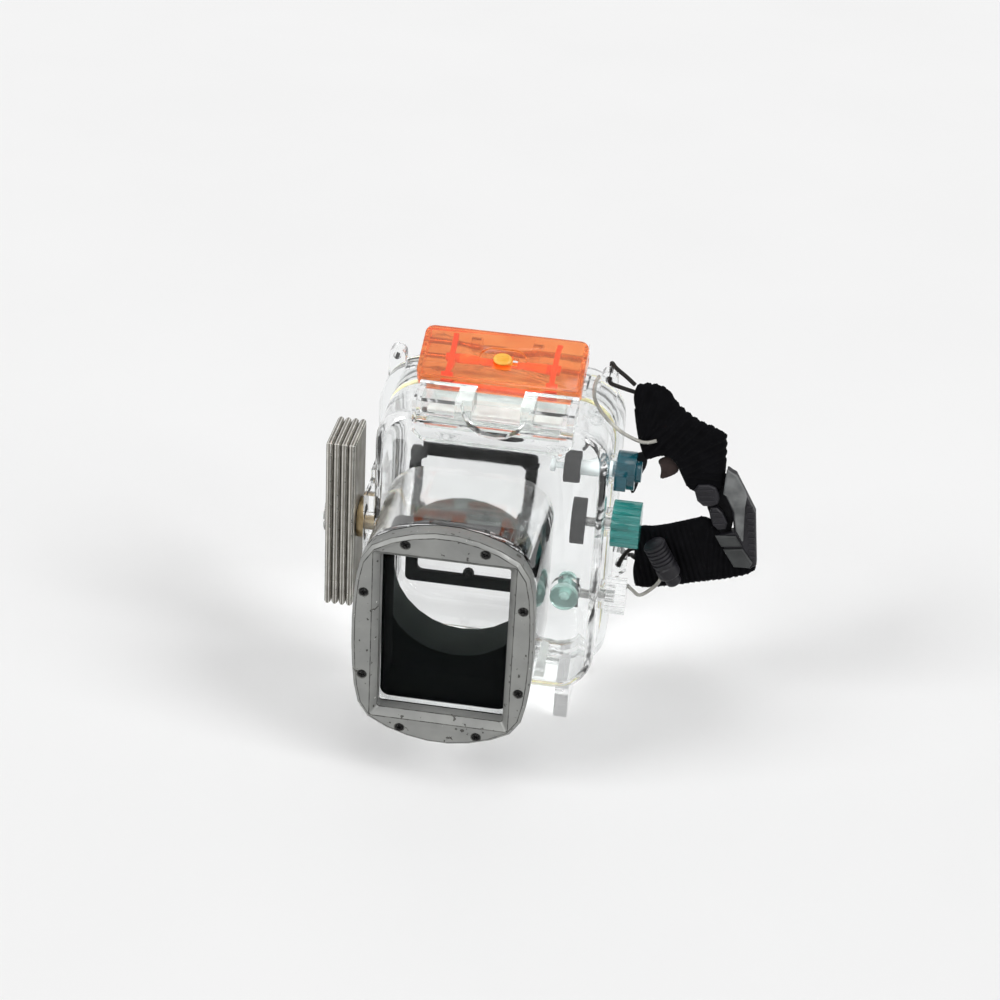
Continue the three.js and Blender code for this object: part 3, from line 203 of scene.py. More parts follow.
def tinted_polycarbonate(name, colour, deep, clearness, roughness=0.1, clear_inside=None):
    """Polycarbonate dyed in the mass and moulded: light passes, and thick places look deeper.

    A dyed cap that is moulded over a clear shank has its colour only beyond an X in millimetres.
    """
    material, tree, shader = start_material(name, Transmission_Weight=clearness, IOR=1.585)
    clouded = tint(tree, shader, 11, colour, deep, 0.3, 0.75)
    if clear_inside is not None:
        mask = beyond(tree, "X", clear_inside, 0.6)
        tree.links.new(mix_colour(tree, mask, 0xE9EEEE, clouded), shader.inputs["Base Color"])
    vary_roughness(tree, shader, 7, roughness, roughness * 2)
    grain(tree, shader, 9, 2.0, 0.08)
    return material


def cast_frame_metal():
    """Die-cast aluminium with a satin silver-grey lacquer, chipped to bright and dirty metal."""
    finish = bpy.context.scene.housing_finish
    material, tree, shader = start_material("aluminium_die_cast_lacquered", Metallic=0.45)
    cloud = tint(tree, shader, 16, finish.frame_metal, 0x90918E)
    chips = remap(tree, noise_field(tree, 2.6, 5.0), 0.655, 0.675)
    chipped = mix_colour(tree, chips, cloud, 0x4A4946)
    bright = remap(tree, noise_field(tree, 1.4, 3.0), 0.73, 0.74)
    tree.links.new(mix_colour(tree, bright, chipped, 0xD6D6D0), shader.inputs["Base Color"])
    vary_roughness(tree, shader, 5, 0.35, 0.6)
    grain(tree, shader, 0.5, 3.0, 0.012)
    return material


def worn_and_shaded_edge():
    """The frame's rounded edges, drawn as a thin dark line: partly rubbed lacquer with dark oxide, partly
    painted shade.
    """
    # Painted shade: a dark line along each rounded edge of the frame, partly worn oxide.
    return clouded_material("aluminium_rubbed_edge_painted_shade", (3, 0x3C3C3A, 0x6A6A66, 0.45, 0.6), (3, 0.4, 0.6),
                            Metallic=0.6)


def ballast_steel():
    """Steel plate, blanked and nickel plated: satin grey with long faint rolling lines."""
    finish = bpy.context.scene.housing_finish
    return clouded_material("steel_plate_nickel_satin", (7, finish.ballast, 0x8A877F, 0.3, 0.7),
                            (4, 0.35, 0.55, (1, 1, 6)), (0.5, 2.0, 0.003, (1, 1, 40)), Metallic=0.8)


def ballast_edge_burnish_and_highlight():
    """The plates' rounded edges, drawn bright: partly plating burnished bright, partly painted highlight."""
    # Painted highlight: a bright line along each rounded edge of the plates, partly burnished plating.
    return clouded_material("steel_edge_burnished_painted_highlight", (4, 0xC8C6C0, 0xE2E0DA), (3, 0.25, 0.4), Metallic=0.9)


def turned_steel():
    """Stainless steel, turned: bright, with fine rings across the pin."""
    return clouded_material("stainless_steel_turned", (5, 0xB4B4B2, 0x9A9A98), (0.6, 0.2, 0.35),
                            (0.3, 2.0, 0.006, (0.2, 4, 4)), Metallic=1.0)


def black_oxide_steel():
    """Steel screws with a black oxide: dark, slightly glossy, brighter where a driver has rubbed."""
    return clouded_material("steel_black_oxide", (0.9, 0x1E1E1E, 0x4A4A48, 0.5, 0.7), (1, 0.3, 0.5),
                            Metallic=0.8)


def turned_brass():
    """Brass, turned and dulled: yellow-grey with brown tarnish."""
    return clouded_material("brass_turned_dull", (4, 0xA08F70, 0x7C6B4E), (2, 0.3, 0.5), Metallic=1.0)


def hood_abs_painted_shade_and_light():
    """ABS, moulded, black, matt in the room and glossier in the round tube: painted dead black up to the tube
    as the shade in the room, and painted a lighter green-grey in the tube as the light that falls in from
    behind.
    """
    material, tree, shader = start_material("abs_black_painted_shade_and_light", IOR=1.53, Specular_IOR_Level=0.04)
    # Painted light and shade: the tube gets a lighter green-grey for the light that falls in from behind, and
    # the room dead black for its shade.
    bare = tint(tree, shader, 12, 0x343A38, 0x3E4441)
    lit_tube_mask = beyond(tree, "Y", TUBE_START, 0.4)
    tree.links.new(mix_colour(tree, lit_tube_mask, 0x020202, bare), shader.inputs["Base Color"])
    tree.links.new(remap(tree, lit_tube_mask, 0.0, 1.0, 0.95, 0.6), shader.inputs["Roughness"])
    grain(tree, shader, *GRIT)
    return material


def black_abs():
    """ABS, moulded with a fine spark texture: near black."""
    return clouded_material("abs_black_fine_texture", (12, 0x0A0B0B, 0x121413), (3, 0.5, 0.7), GRIT,
                            IOR=1.53, Specular_IOR_Level=0.1)


def moulded_rubber(name, colour, other):
    """Nitrile rubber, moulded: matt, with a dusty bloom."""
    return clouded_material(name, (5, colour, other), (3, 0.65, 0.9), (0.7, 3.0, 0.02),
                            IOR=1.52, Specular_IOR_Level=0.1)


def black_rubber():
    """The rubber of the gasket and the wheels, made once for both."""
    name = "rubber_black_moulded"
    return bpy.data.materials.get(name) or moulded_rubber(name, 0x0A0A0B, 0x141415)


def natural_silicone():
    """Silicone sponge pads, moulded uncoloured: milky, soft and nearly invisible behind clear plastic."""
    return clouded_material("silicone_pad_natural", (4, 0xF2F4F2, 0xE6E9E7), (3, 0.3, 0.5),
                            IOR=1.41, Transmission_Weight=0.8)


def greased_silicone():
    """Silicone O-ring, moulded and greased: pale yellow, waxy and a little wet."""
    return clouded_material("silicone_ring_greased", (6, 0xEDE8C4, 0xE2DCA6), (4, 0.2, 0.45),
                            IOR=1.43, Subsurface_Weight=0.2, Subsurface_Scale=1.5 * MM)


def yellow_acetal():
    """Acetal, moulded: yellow all through, with a waxy shine."""
    return clouded_material("acetal_yellow_moulded", (5, 0xF0B040, 0xF7C962), (3, 0.3, 0.48),
                            (1.2, 2.0, 0.015), IOR=1.48, Subsurface_Weight=0.1,
                            Subsurface_Scale=1.0 * MM)


def claw_acetal():
    """Acetal, moulded in two colours: red claws on an orange cross tube."""
    material, tree, shader = start_material("acetal_red_orange_moulded", IOR=1.48)
    left, right = (beyond(tree, "X", place, 0.4) for place in CROSS_TUBE)
    between = add_node(tree, "ShaderNodeMath", {"operation": "SUBTRACT"}, links={0: right, 1: left})
    claws = remap(tree, between.outputs[0], -1.0, 0.0)
    red = tint(tree, shader, 5, 0xDC2C1C, 0xC4201A)
    tree.links.new(mix_colour(tree, claws, 0xF08A3C, red), shader.inputs["Base Color"])
    vary_roughness(tree, shader, 3, 0.25, 0.4)
    grain(tree, shader, 1.2, 2.0, 0.015)
    return material


def knitted_nylon():
    """Neoprene faced with knitted nylon: very dark and soft, with a blue-black fuzz."""
    finish = bpy.context.scene.housing_finish
    # The real stitch is 0.5 mm; it is drawn at 0.8 mm so that it shows.
    return clouded_material("neoprene_nylon_jersey", (5, finish.strap, 0x0A0A0D, 0.35, 0.7),
                            (2, 0.8, 1.0), (0.8, 4.0, 0.12), IOR=1.5, Specular_IOR_Level=0.06,
                            Sheen_Weight=0.03, Sheen_Roughness=0.5)


def woven_polyester(name, colour, other):
    """Polyester webbing and cord, woven: flat black with a diagonal weave."""
    material, tree, shader = start_material(name, IOR=1.5, Specular_IOR_Level=0.15, Sheen_Weight=0.05)
    tint(tree, shader, 4, colour, other)
    place = add_node(tree, "ShaderNodeTexCoord")
    # This scale lays the wave's diagonal bands about 2 mm apart, coarser than the real weave.
    weave = add_node(tree, "ShaderNodeTexWave", {"bands_direction": "DIAGONAL"},
                     values={"Scale": per_mm(0.9) / 6.28, "Distortion": 1.2},
                     links={"Vector": place.outputs["Object"]})
    relief(tree, shader, weave.outputs[1], 0.05)
    vary_roughness(tree, shader, 2, 0.7, 0.9)
    return material


def glass_filled_nylon():
    """Glass-filled nylon, moulded: charcoal grey with a dry, slightly streaky face."""
    finish = bpy.context.scene.housing_finish
    return clouded_material("nylon_glass_filled", (7, finish.buckle, 0x4A4C4C), (3, 0.38, 0.55),
                            (0.5, 3.0, 0.02, (1, 1, 3)), IOR=1.53)


def ladder_nylon():
    """The buckle's ladder, moulded in a darker nylon with a dull worn face."""
    return clouded_material("nylon_dark_grey_moulded", (5, 0x262828, 0x343636), (3, 0.45, 0.6),
                            (0.5, 3.0, 0.02), IOR=1.53, Specular_IOR_Level=0.4)


def dark_nylon():
    """The same nylon in black, for the keepers, the buckle's frame and the cord lock, made once."""
    name = "nylon_black_moulded"
    return bpy.data.materials.get(name) or clouded_material(
        name, (6, 0x131216, 0x1E1D22), (2, 0.4, 0.6), (0.5, 3.0, 0.02), IOR=1.53, Specular_IOR_Level=0.3)


def soft_vinyl():
    """Soft vinyl line, extruded: cloudy clear with a glossy skin and darker where it is thick."""
    return clouded_material("vinyl_line_extruded", (8, 0x9B9A94, 0xC9C6BC), (3, 0.15, 0.3),
                            IOR=1.53, Transmission_Weight=0.35, Coat_Weight=0.4)


def studio_paper():
    """Seamless paper, matt and off-white, with a barely visible cloudiness."""
    floor = bpy.context.scene.housing_stage.floor
    return clouded_material("seamless_paper_white", (180, floor, tuple(c * 0.985 for c in floor)),
                            (60, 0.85, 0.95), IOR=1.45, Specular_IOR_Level=0.1)


# CAD nodes: their meshes stay as packed, and modifiers round the edges

SMOOTH_BELOW = 38  # degrees between two faces, up to which their edge shades smooth
CORNER_GAP = 0.002 * MM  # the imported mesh's loose triangles share their corners to within this


def group_for_modifier(name):
    """An empty geometry node group with one geometry in and one out."""
    group = bpy.data.node_groups.new(name, "GeometryNodeTree")
    group.interface.new_socket("Geometry", in_out="INPUT", socket_type="NodeSocketGeometry")
    group.interface.new_socket("Geometry", in_out="OUTPUT", socket_type="NodeSocketGeometry")
    return group, add_node(group, "NodeGroupInput")


def joined_faces():
    """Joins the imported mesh's loose triangles along their shared edges."""
    group = bpy.data.node_groups.get("joined_faces")
    if group is None:
        group, start = group_for_modifier("joined_faces")
        bare = add_node(group, "GeometryNodeRemoveAttribute", values={"Name": "custom_normal"},
                        links={"Geometry": start.outputs[0]})
        merged = add_node(group, "GeometryNodeMergeByDistance", values={"Distance": CORNER_GAP},
                          links={"Geometry": bare.outputs[0]})
        add_node(group, "NodeGroupOutput", links={0: merged.outputs[0]})
    return group


def smooth_below(degrees):
    """Shades smooth across edges flatter than this angle."""
    name = f"smooth_below_{degrees}"
    group = bpy.data.node_groups.get(name)
    if group is None:
        group, start = group_for_modifier(name)
        angle = add_node(group, "GeometryNodeInputMeshEdgeAngle")
        flat = add_node(group, "FunctionNodeCompare", {"operation": "LESS_THAN"},
                        values={1: math.radians(degrees)}, links={0: angle.outputs[0]})
        faces = add_node(group, "GeometryNodeSetShadeSmooth", {"domain": "FACE"},
                         values={"Shade Smooth": True}, links={"Geometry": start.outputs[0]})
        edges = add_node(group, "GeometryNodeSetShadeSmooth", {"domain": "EDGE"},
                         links={"Geometry": faces.outputs[0], "Shade Smooth": flat.outputs[0]})
        add_node(group, "NodeGroupOutput", links={0: edges.outputs[0]})
    return group


def dress(node, material, edge=0.0, angle=40, edge_material=None):
    """Gives a CAD node its finish and rounds its edges by this many millimetres."""
    piece = NODES[node]
    piece.data.materials.clear()
    piece.data.materials.append(material)
    piece.modifiers.new("joined", "NODES").node_group = joined_faces()
    if edge:
        bevel = piece.modifiers.new("edge", "BEVEL")
        bevel.width = edge * MM
        bevel.segments = 2
        bevel.limit_method = "ANGLE"
        bevel.angle_limit = math.radians(angle)
        bevel.use_clamp_overlap = False
        if edge_material:
            piece.data.materials.append(edge_material)
            bevel.material = 1
    piece.modifiers.new("smooth", "NODES").node_group = smooth_below(SMOOTH_BELOW)
    return piece


# Mesh helpers for the new pieces. Their outlines are in X and Z, in millimetres.

def finish_piece(name, bm, material, body, replaced=(), place=None, smooth=True):
    """Makes a mesh into a piece that rides a body and stands for the CAD nodes that it replaces."""
    bmesh.ops.remove_doubles(bm, verts=bm.verts, dist=0.001 * MM)
    bmesh.ops.recalc_face_normals(bm, faces=bm.faces)
    mesh = bpy.data.meshes.new(name)
    bm.to_mesh(mesh)
    bm.free()
    if place is not None:
        mesh.transform(place)
    mesh.materials.append(material)
    piece = bpy.data.objects.new(name, mesh)
    bpy.context.scene.collection.objects.link(piece)
    if smooth:
        piece.modifiers.new("smooth", "NODES").node_group = smooth_below(SMOOTH_BELOW)
    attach(piece, body)
    if replaced:
        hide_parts(*replaced)
    return piece


def around(points):
    """Each point of a closed outline with the next."""
    return zip(points, points[1:] + points[:1])


def resample(points, step):
    """Points along a closed outline, evenly spaced."""
    found = []
    for (ax, az), (bx, bz) in around(points):
        count = max(1, round(math.hypot(bx - ax, bz - az) / step))
        found += [(ax + (bx - ax) * i / count, az + (bz - az) * i / count) for i in range(count)]
    return found


def rounded(points, rounds):
    """Cuts an outline's corners, so that it runs in soft curves."""
    for _ in range(rounds):
        points = [p for (ax, az), (bx, bz) in around(points)
                  for p in ((ax * 0.75 + bx * 0.25, az * 0.75 + bz * 0.25),
                            (ax * 0.25 + bx * 0.75, az * 0.25 + bz * 0.75))]
    return points


def outward(points):
    """The outline's outward direction at each point."""
    area = sum(ax * bz - bx * az for (ax, az), (bx, bz) in around(points))
    turn = 1 if area > 0 else -1
    found = []
    for i, _ in enumerate(points):
        (ax, az), (bx, bz) = points[i - 1], points[(i + 1) % len(points)]
        length = math.hypot(bx - ax, bz - az) or 1
        found.append((turn * (bz - az) / length, -turn * (bx - ax) / length))
    return found


def grown(points, distance):
    """The outline moved outward, or inward by a negative distance."""
    return [(x + nx * distance, z + nz * distance) for (x, z), (nx, nz) in zip(points, outward(points))]


def distance_to_line(x, z, ax, az, bx, bz):
    """How far a point is from a line, and how far along the line it lies."""
    dx, dz = bx - ax, bz - az
    length = dx * dx + dz * dz or 1
    share = min(1, max(0, ((x - ax) * dx + (z - az) * dz) / length))
    return math.hypot(x - ax - dx * share, z - az - dz * share), share * math.sqrt(length)


def place_on_path(x, z, path):
    """How far along a path a point lies, and its side: 1 on the left of the path, -1 on the right."""
    found, run = [], 0
    for (ax, az), (bx, bz) in zip(path, path[1:]):
        away, along = distance_to_line(x, z, ax, az, bx, bz)
        side = 1 if (bx - ax) * (z - az) > (bz - az) * (x - ax) else -1
        found.append((away, run + along, side))
        run += math.hypot(bx - ax, bz - az)
    return min(found)[1:]


def rectangle(left, bottom, right, top):
    return [(left, bottom), (right, bottom), (right, top), (left, top)]


def inside(x, z, outline):
    crossed = False
    for (ax, az), (bx, bz) in around(outline):
        if (az > z) != (bz > z) and x < (bx - ax) * (z - az) / (bz - az) + ax:
            crossed = not crossed
    return crossed


def ribbed_pad(outline, path, middle, half, pitch, rib, hem, scallop, wavy_side=0):
    """A flat soft piece with a rounded hem, ribs across its path and lobes along one edge."""
    step = 0.6  # from one point of the mesh to the next
    keep_off = step * 0.55  # how near the filling's points come to the edge
    edge = resample(rounded(outline, 2), step)
    lobed = []
    for (x, z), (nx, nz) in zip(edge, outward(edge)):
        run, side = place_on_path(x, z, path)
        drawn_in = scallop * (1 - abs(math.sin(math.pi * run / pitch))) if side == wavy_side else 0
        lobed.append((x - nx * drawn_in, z - nz * drawn_in))
    edge = lobed
    xs, zs = [p[0] for p in edge], [p[1] for p in edge]
    segments = list(zip(edge[::2], edge[2::2] + edge[:1]))

    def from_edge(x, z):
        return min(distance_to_line(x, z, *a, *b)[0] for a, b in segments)

    filling = []
    across = int((max(xs) - min(xs)) / step)
    upward = int((max(zs) - min(zs)) / step)
    for i in range(across):
        for j in range(upward):
            x = min(xs) + (i + 0.5 + 0.5 * (j % 2)) * step
            z = min(zs) + (j + 0.5) * step
            if inside(x, z, edge) and from_edge(x, z) > keep_off:
                filling.append((x, z))
    flat = [Vector(p) for p in edge + filling]
    links = [(i, (i + 1) % len(edge)) for i in range(len(edge))]
    verts, _, faces, *_ = delaunay_2d_cdt(flat, links, [], 1, 1e-5)
    bm = bmesh.new()
    for sign in (-1, 1):
        made = []
        for x, z in verts:
            d = min(1, from_edge(x, z) / hem)
            crown = half * math.sqrt(1 - (1 - d) ** 2)
            wave = -rib * math.cos(2 * math.pi * place_on_path(x, z, path)[0] / pitch) * d
            on_rim = d < 0.02  # there the two faces share their points
            y = middle if on_rim else middle + sign * (crown + wave)
            made.append(bm.verts.new((x * MM, y * MM, z * MM)))
        for face in faces:
            if len(set(face)) == 3:
                bm.faces.new([made[i] for i in face])
    bmesh.ops.remove_doubles(bm, verts=bm.verts, dist=0.004 * MM)
    return bm


def circle(sides):
    """The cosine and sine of each corner of a round outline."""
    return [(math.cos(a), math.sin(a)) for a in (math.tau * i / sides for i in range(sides))]


def ring(bm, corners):
    """Adds corners in millimetres to a mesh."""
    return [bm.verts.new([c * MM for c in corner]) for corner in corners]


def join_rings(bm, rings, closed=(0, -1)):
    """Joins each ring to the next with faces, and closes some of them."""
    for near, far in zip(rings, rings[1:]):
        for i, _ in enumerate(near):
            j = (i + 1) % len(near)
            bm.faces.new((near[i], near[j], far[j], far[i]))
    for index in closed:
        bm.faces.new(rings[index])


def chamfered_plate(bm, outline, front, back, chamfer):
    """A plate with broken edges between two Y places, added to a mesh."""
    levels = ((front, chamfer), (front + chamfer, 0), (back - chamfer, 0), (back, chamfer))
    join_rings(bm, [ring(bm, [(x, y, z) for x, z in grown(outline, -inset)]) for y, inset in levels])


def turned(bm, profile, sides=32):
    """Turns a profile of (along X, radius) pairs about the X axis."""
    join_rings(bm, [ring(bm, [(x, r * c, r * s) for c, s in circle(sides)]) for x, r in profile])


def smooth_route(points, per_span=4):
    """A smooth curve through a cord's points."""
    pts = [Vector(p) for p in points]
    found = []
    for i in range(len(pts) - 1):
        a, b, c, d = pts[max(i - 1, 0)], pts[i], pts[i + 1], pts[min(i + 2, len(pts) - 1)]
        for k in range(per_span):
            t = k / per_span
            found.append(0.5 * (2 * b + (c - a) * t + (2 * a - 5 * b + 4 * c - d) * t ** 2
                                + (3 * b - a - 3 * c + d) * t ** 3))
    return found + [pts[-1]]


def cord_piece(name, points, diameter, material, slot, replaced):
    """A cord held at both ends: a curve along its route."""
    route = [p * MM for p in smooth_route(points)]
    curve = bpy.data.curves.new(name, "CURVE")
    curve.dimensions = "3D"
    curve.bevel_depth = diameter / 2 * MM
    curve.bevel_resolution = 3
    curve.use_fill_caps = True
    spline = curve.splines.new("POLY")
    spline.points.add(len(route) - 1)
    for point, place in zip(spline.points, route):
        point.co = (*place, 1)
    curve.materials.append(material)
    piece = bpy.data.objects.new(name, curve)
    bpy.context.scene.collection.objects.link(piece)
    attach(piece, "housing")
    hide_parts(replaced)
    return piece


# What a user would change

class HousingFinish(bpy.types.PropertyGroup):
    """Colours and surfaces of the housing."""

    shell_tint: FloatVectorProperty(name="Shell tint", description="Colour of the clear plastic",
                                    subtype="COLOR", default=linear(0xFCFDFD), min=0, max=1)
    shell_haze: FloatProperty(name="Shell haze", description="How dull handling has made the clear plastic",
                              default=0.02, min=0, max=0.3)
    latch: FloatVectorProperty(name="Latch", description="Colour of the latch cover",
                               subtype="COLOR", default=linear(0xF79A57), min=0, max=1)
    upper_control: FloatVectorProperty(name="Upper control", description="Colour of the zoom lever",
                                       subtype="COLOR", default=linear(0x1C6472), min=0, max=1)
    lower_control: FloatVectorProperty(name="Lower control", description="Colour of the mode knob",
                                       subtype="COLOR", default=linear(0x34908A), min=0, max=1)
    frame_metal: FloatVectorProperty(name="Port frame", description="Colour of the port frame's lacquer",
                                     subtype="COLOR", default=linear(0x838482), min=0, max=1)
    ballast: FloatVectorProperty(name="Ballast", description="Colour of the ballast plates",
                                 subtype="COLOR", default=linear(0x736F69), min=0, max=1)
    strap: FloatVectorProperty(name="Strap", description="Colour of the wrist strap",
                               subtype="COLOR", default=linear(0x050507), min=0, max=1)
    buckle: FloatVectorProperty(name="Buckle", description="Colour of the strap's buckle",
                                subtype="COLOR", default=linear(0x707272), min=0, max=1)


class HousingStrapSizes(bpy.types.PropertyGroup):
    """Sizes of the wrist strap."""

    thickness: FloatProperty(name="Thickness", description="Thickness of the padded strap",
                             unit="LENGTH", default=4 * MM, min=1 * MM, max=8 * MM)
    rib_pitch: FloatProperty(name="Rib spacing", description="From one knitted rib to the next",
                             unit="LENGTH", default=3.4 * MM, min=1 * MM, max=10 * MM)
    rib_height: FloatProperty(name="Rib height", description="How far a rib stands up",
                              unit="LENGTH", default=0.35 * MM, min=0, max=1 * MM)
    scallop: FloatProperty(name="Edge wave", description="How far the edge draws in between ribs",
                           unit="LENGTH", default=0.7 * MM, min=0, max=2 * MM)


class HousingStage(bpy.types.PropertyGroup):
    """The floor and the light."""

    floor: FloatVectorProperty(name="Floor", description="Colour of the paper that the housing stands on",
                               subtype="COLOR", default=linear(0xF6F6F6), min=0, max=1)
    floor_size: FloatProperty(name="Floor size", description="Width of the paper",
                              unit="LENGTH", default=8.0, min=1, max=20)
    room_light: FloatProperty(name="Room light", description="Level of the light from all round",
                              default=0.34, min=0, max=2)
    lamp_light: FloatProperty(name="Lamp light", description="Light on the floor from each soft lamp",
                              default=0.275, min=0, max=2)
    lamp_softness: FloatProperty(name="Lamp softness", description="How wide each lamp looks",
                                 subtype="ANGLE", default=math.radians(26), min=0, max=math.radians(90))


# Operators

class HOUSING_OT_stage(bpy.types.Operator):
    """Lays the floor and sets the room light, the soft lamps and the camera"""

    bl_idname = "housing.stage"
    bl_label = "Floor, light and camera"

    # Each lamp's direction and share. Two soft ones from in front lay a shadow behind each side, and
    # one from above fills.
    lamps = {"lamp_left": ((-0.85, -0.6, 0.75), 1.0), "lamp_right": ((0.85, -0.45, 0.7), 1.0),
             "lamp_above": ((0.1, -0.2, 1.0), 0.35)}
    # The camera was fitted to the photograph: its place in metres, its lens in millimetres, and its
    # turn about the housing, rise above the floor and roll in degrees.
    camera_place = (0.1154, -0.8547, 0.5848)
    camera_lens = 82.69
    camera_angles = (7.16, 30.1, 3.28)
    # Light passes through many clear walls.
    clear_bounces = 24
    glossy_bounces = 8

    def execute(self, context):
        stage = context.scene.housing_stage
        half = stage.floor_size / 2
        mesh = bpy.data.meshes.new("floor")
        mesh.from_pydata([(-half, -half, 0), (half, -half, 0), (half, half, 0), (-half, half, 0)], [],
                         [(0, 1, 2, 3)])
        mesh.materials.append(studio_paper())
        floor = bpy.data.objects.new("floor", mesh)
        context.scene.collection.objects.link(floor)
        self.room(stage)
        for name, (direction, share) in self.lamps.items():
            self.lamp(name, direction, stage, share)
        self.camera(context.scene)
        return {"FINISHED"}

    def room(self, stage):
        """Light from all round, which the camera, mirrors and clear walls see as pale paper."""
        world = bpy.data.worlds.new("pale_room")
        world.use_nodes = True
        tree = world.node_tree
        tree.nodes.clear()
        path = add_node(tree, "ShaderNodeLightPath")
        seen = path.outputs["Is Camera Ray"]
        for ray in ("Is Glossy Ray", "Is Transmission Ray"):
            seen = add_node(tree, "ShaderNodeMath", {"operation": "MAXIMUM"},
                            links={0: seen, 1: path.outputs[ray]}).outputs[0]
        lit = add_node(tree, "ShaderNodeBackground", values={"Color": (1, 1, 1, 1),
                                                             "Strength": stage.room_light})
        pale = add_node(tree, "ShaderNodeBackground", values={"Color": opaque(linear(0xF6F6F6)),
                                                              "Strength": 1.0})
        mixed = add_node(tree, "ShaderNodeMixShader", links={0: seen, 1: lit.outputs[0],
                                                             2: pale.outputs[0]})
        add_node(tree, "ShaderNodeOutputWorld", links={"Surface": mixed.outputs[0]})
        bpy.context.scene.world = world

    def lamp(self, name, direction, stage, share):
        """A far lamp that gives the floor this share of the lamp light."""
        towards = Vector(direction).normalized()
        lamp = bpy.data.lights.new(name, "SUN")
        lamp.angle = stage.lamp_softness
        lamp.energy = math.pi * stage.lamp_light * share / towards.z
        holder = bpy.data.objects.new(name, lamp)
        holder.rotation_euler = towards.to_track_quat("Z", "Y").to_euler()
        bpy.context.scene.collection.objects.link(holder)

    def camera(self, scene):
        data = bpy.data.cameras.new("camera")
        data.sensor_width = 36
        data.lens = self.camera_lens
        data.clip_start = 0.01
        camera = bpy.data.objects.new("camera", data)
        scene.collection.objects.link(camera)
        turn, rise, roll = (math.radians(a) for a in self.camera_angles)
        back = Vector((math.sin(turn) * math.cos(rise), -math.cos(turn) * math.cos(rise), math.sin(rise)))
        right = Vector((math.cos(turn), math.sin(turn), 0))
        up = back.cross(right)
        tilted_right = right * math.cos(roll) + up * math.sin(roll)
        tilted_up = up * math.cos(roll) - right * math.sin(roll)
        camera.matrix_world = Matrix.Translation(self.camera_place) @ Matrix(
            (tilted_right, tilted_up, back)).transposed().to_4x4()
        scene.camera = camera
        scene.view_settings.view_transform = "Standard"
        scene.cycles.max_bounces = self.clear_bounces
        scene.cycles.transmission_bounces = self.clear_bounces
        scene.cycles.glossy_bounces = self.glossy_bounces


class HOUSING_OT_clear_shells(bpy.types.Operator):
    """Finishes the clear shells, the window and the clear knobs"""

    bl_idname = "housing.clear_shells"
    bl_label = "Clear shells"

    def execute(self, context):
        plastic = clear_polycarbonate()
        names = ["front_shell", "rear_shell", "exposure_knob", "control_dial"]
        names += [f"rear_button_{i}" for i in range(1, 6)]
        for name in names:
            # Clear plastic lets the lamps' light through to the floor.
            dress(name, plastic).visible_shadow = False
        dress("port_window", window_glass()).visible_shadow = False
        return {"FINISHED"}


class HOUSING_OT_latch(bpy.types.Operator):
    """Finishes the latch: its cover, claws, lock and pins"""

    bl_idname = "housing.latch"
    bl_label = "Latch"

    def execute(self, context):
        finish = context.scene.housing_finish
        cover = tinted_polycarbonate("polycarbonate_orange_dyed", finish.latch, 0xEE8040, 0.85, 0.06)
        dress("latch_cover", cover, 0.5).visible_shadow = False
        dress("latch_claw", claw_acetal(), 0.25)
        self.lock(yellow_acetal())
        steel = turned_steel()
        for name in ("latch_pin", "claw_pin", "hinge_pin", "weight_screw", "mode_shaft", "exposure_shaft"):
            dress(name, steel, 0.1)
        return {"FINISHED"}

    # The lock's sizes are in the cover's own frame, which leans forward about its pivot.
    pivot = (6.4, 7.0, 153.0)
    lean = 23
    lock_centre = 9.8
    lock_half = (3.9, 3.1)
    stem_half = 1.5
    foot_half = 4.0
    ridge_offsets = (-1.1, 0, 1.1)
    ridge_half = (2.3, 0.3)
    # From, to and chamfer, in the order in which they stand out of the cover.
    levels = {"foot": (4.05, 4.65, 0.1), "stem": (4.35, 7.2, 0.1), "cap": (6.45, 7.95, 0.5),
              "ridge": (7.8, 8.2, 0.15)}

    def lock(self, material):
        """The sliding lock: an oval cap with three ridges, on a stem and a foot."""
        place = (Matrix.Translation(Vector(self.pivot) * MM)
                 @ Matrix.Rotation(math.radians(self.lean), 4, "X")
                 @ Matrix.Rotation(math.radians(90), 4, "X"))
        bm = bmesh.new()
        oval = [(self.lock_half[0] * c, self.lock_centre + self.lock_half[1] * s) for c, s in circle(28)]
        chamfered_plate(bm, oval, *self.levels["cap"])
        for name, half in (("stem", self.stem_half), ("foot", self.foot_half)):
            self.block(bm, name, self.lock_centre, half, half)
        for offset in self.ridge_offsets:
            self.block(bm, "ridge", self.lock_centre + offset, *self.ridge_half)
        finish_piece("lock_slider", bm, material, "lock", ("latch_lock",), place)

    def block(self, bm, name, centre, half_width, half_height):
        outline = rectangle(-half_width, centre - half_height, half_width, centre + half_height)
        chamfered_plate(bm, outline, *self.levels[name])


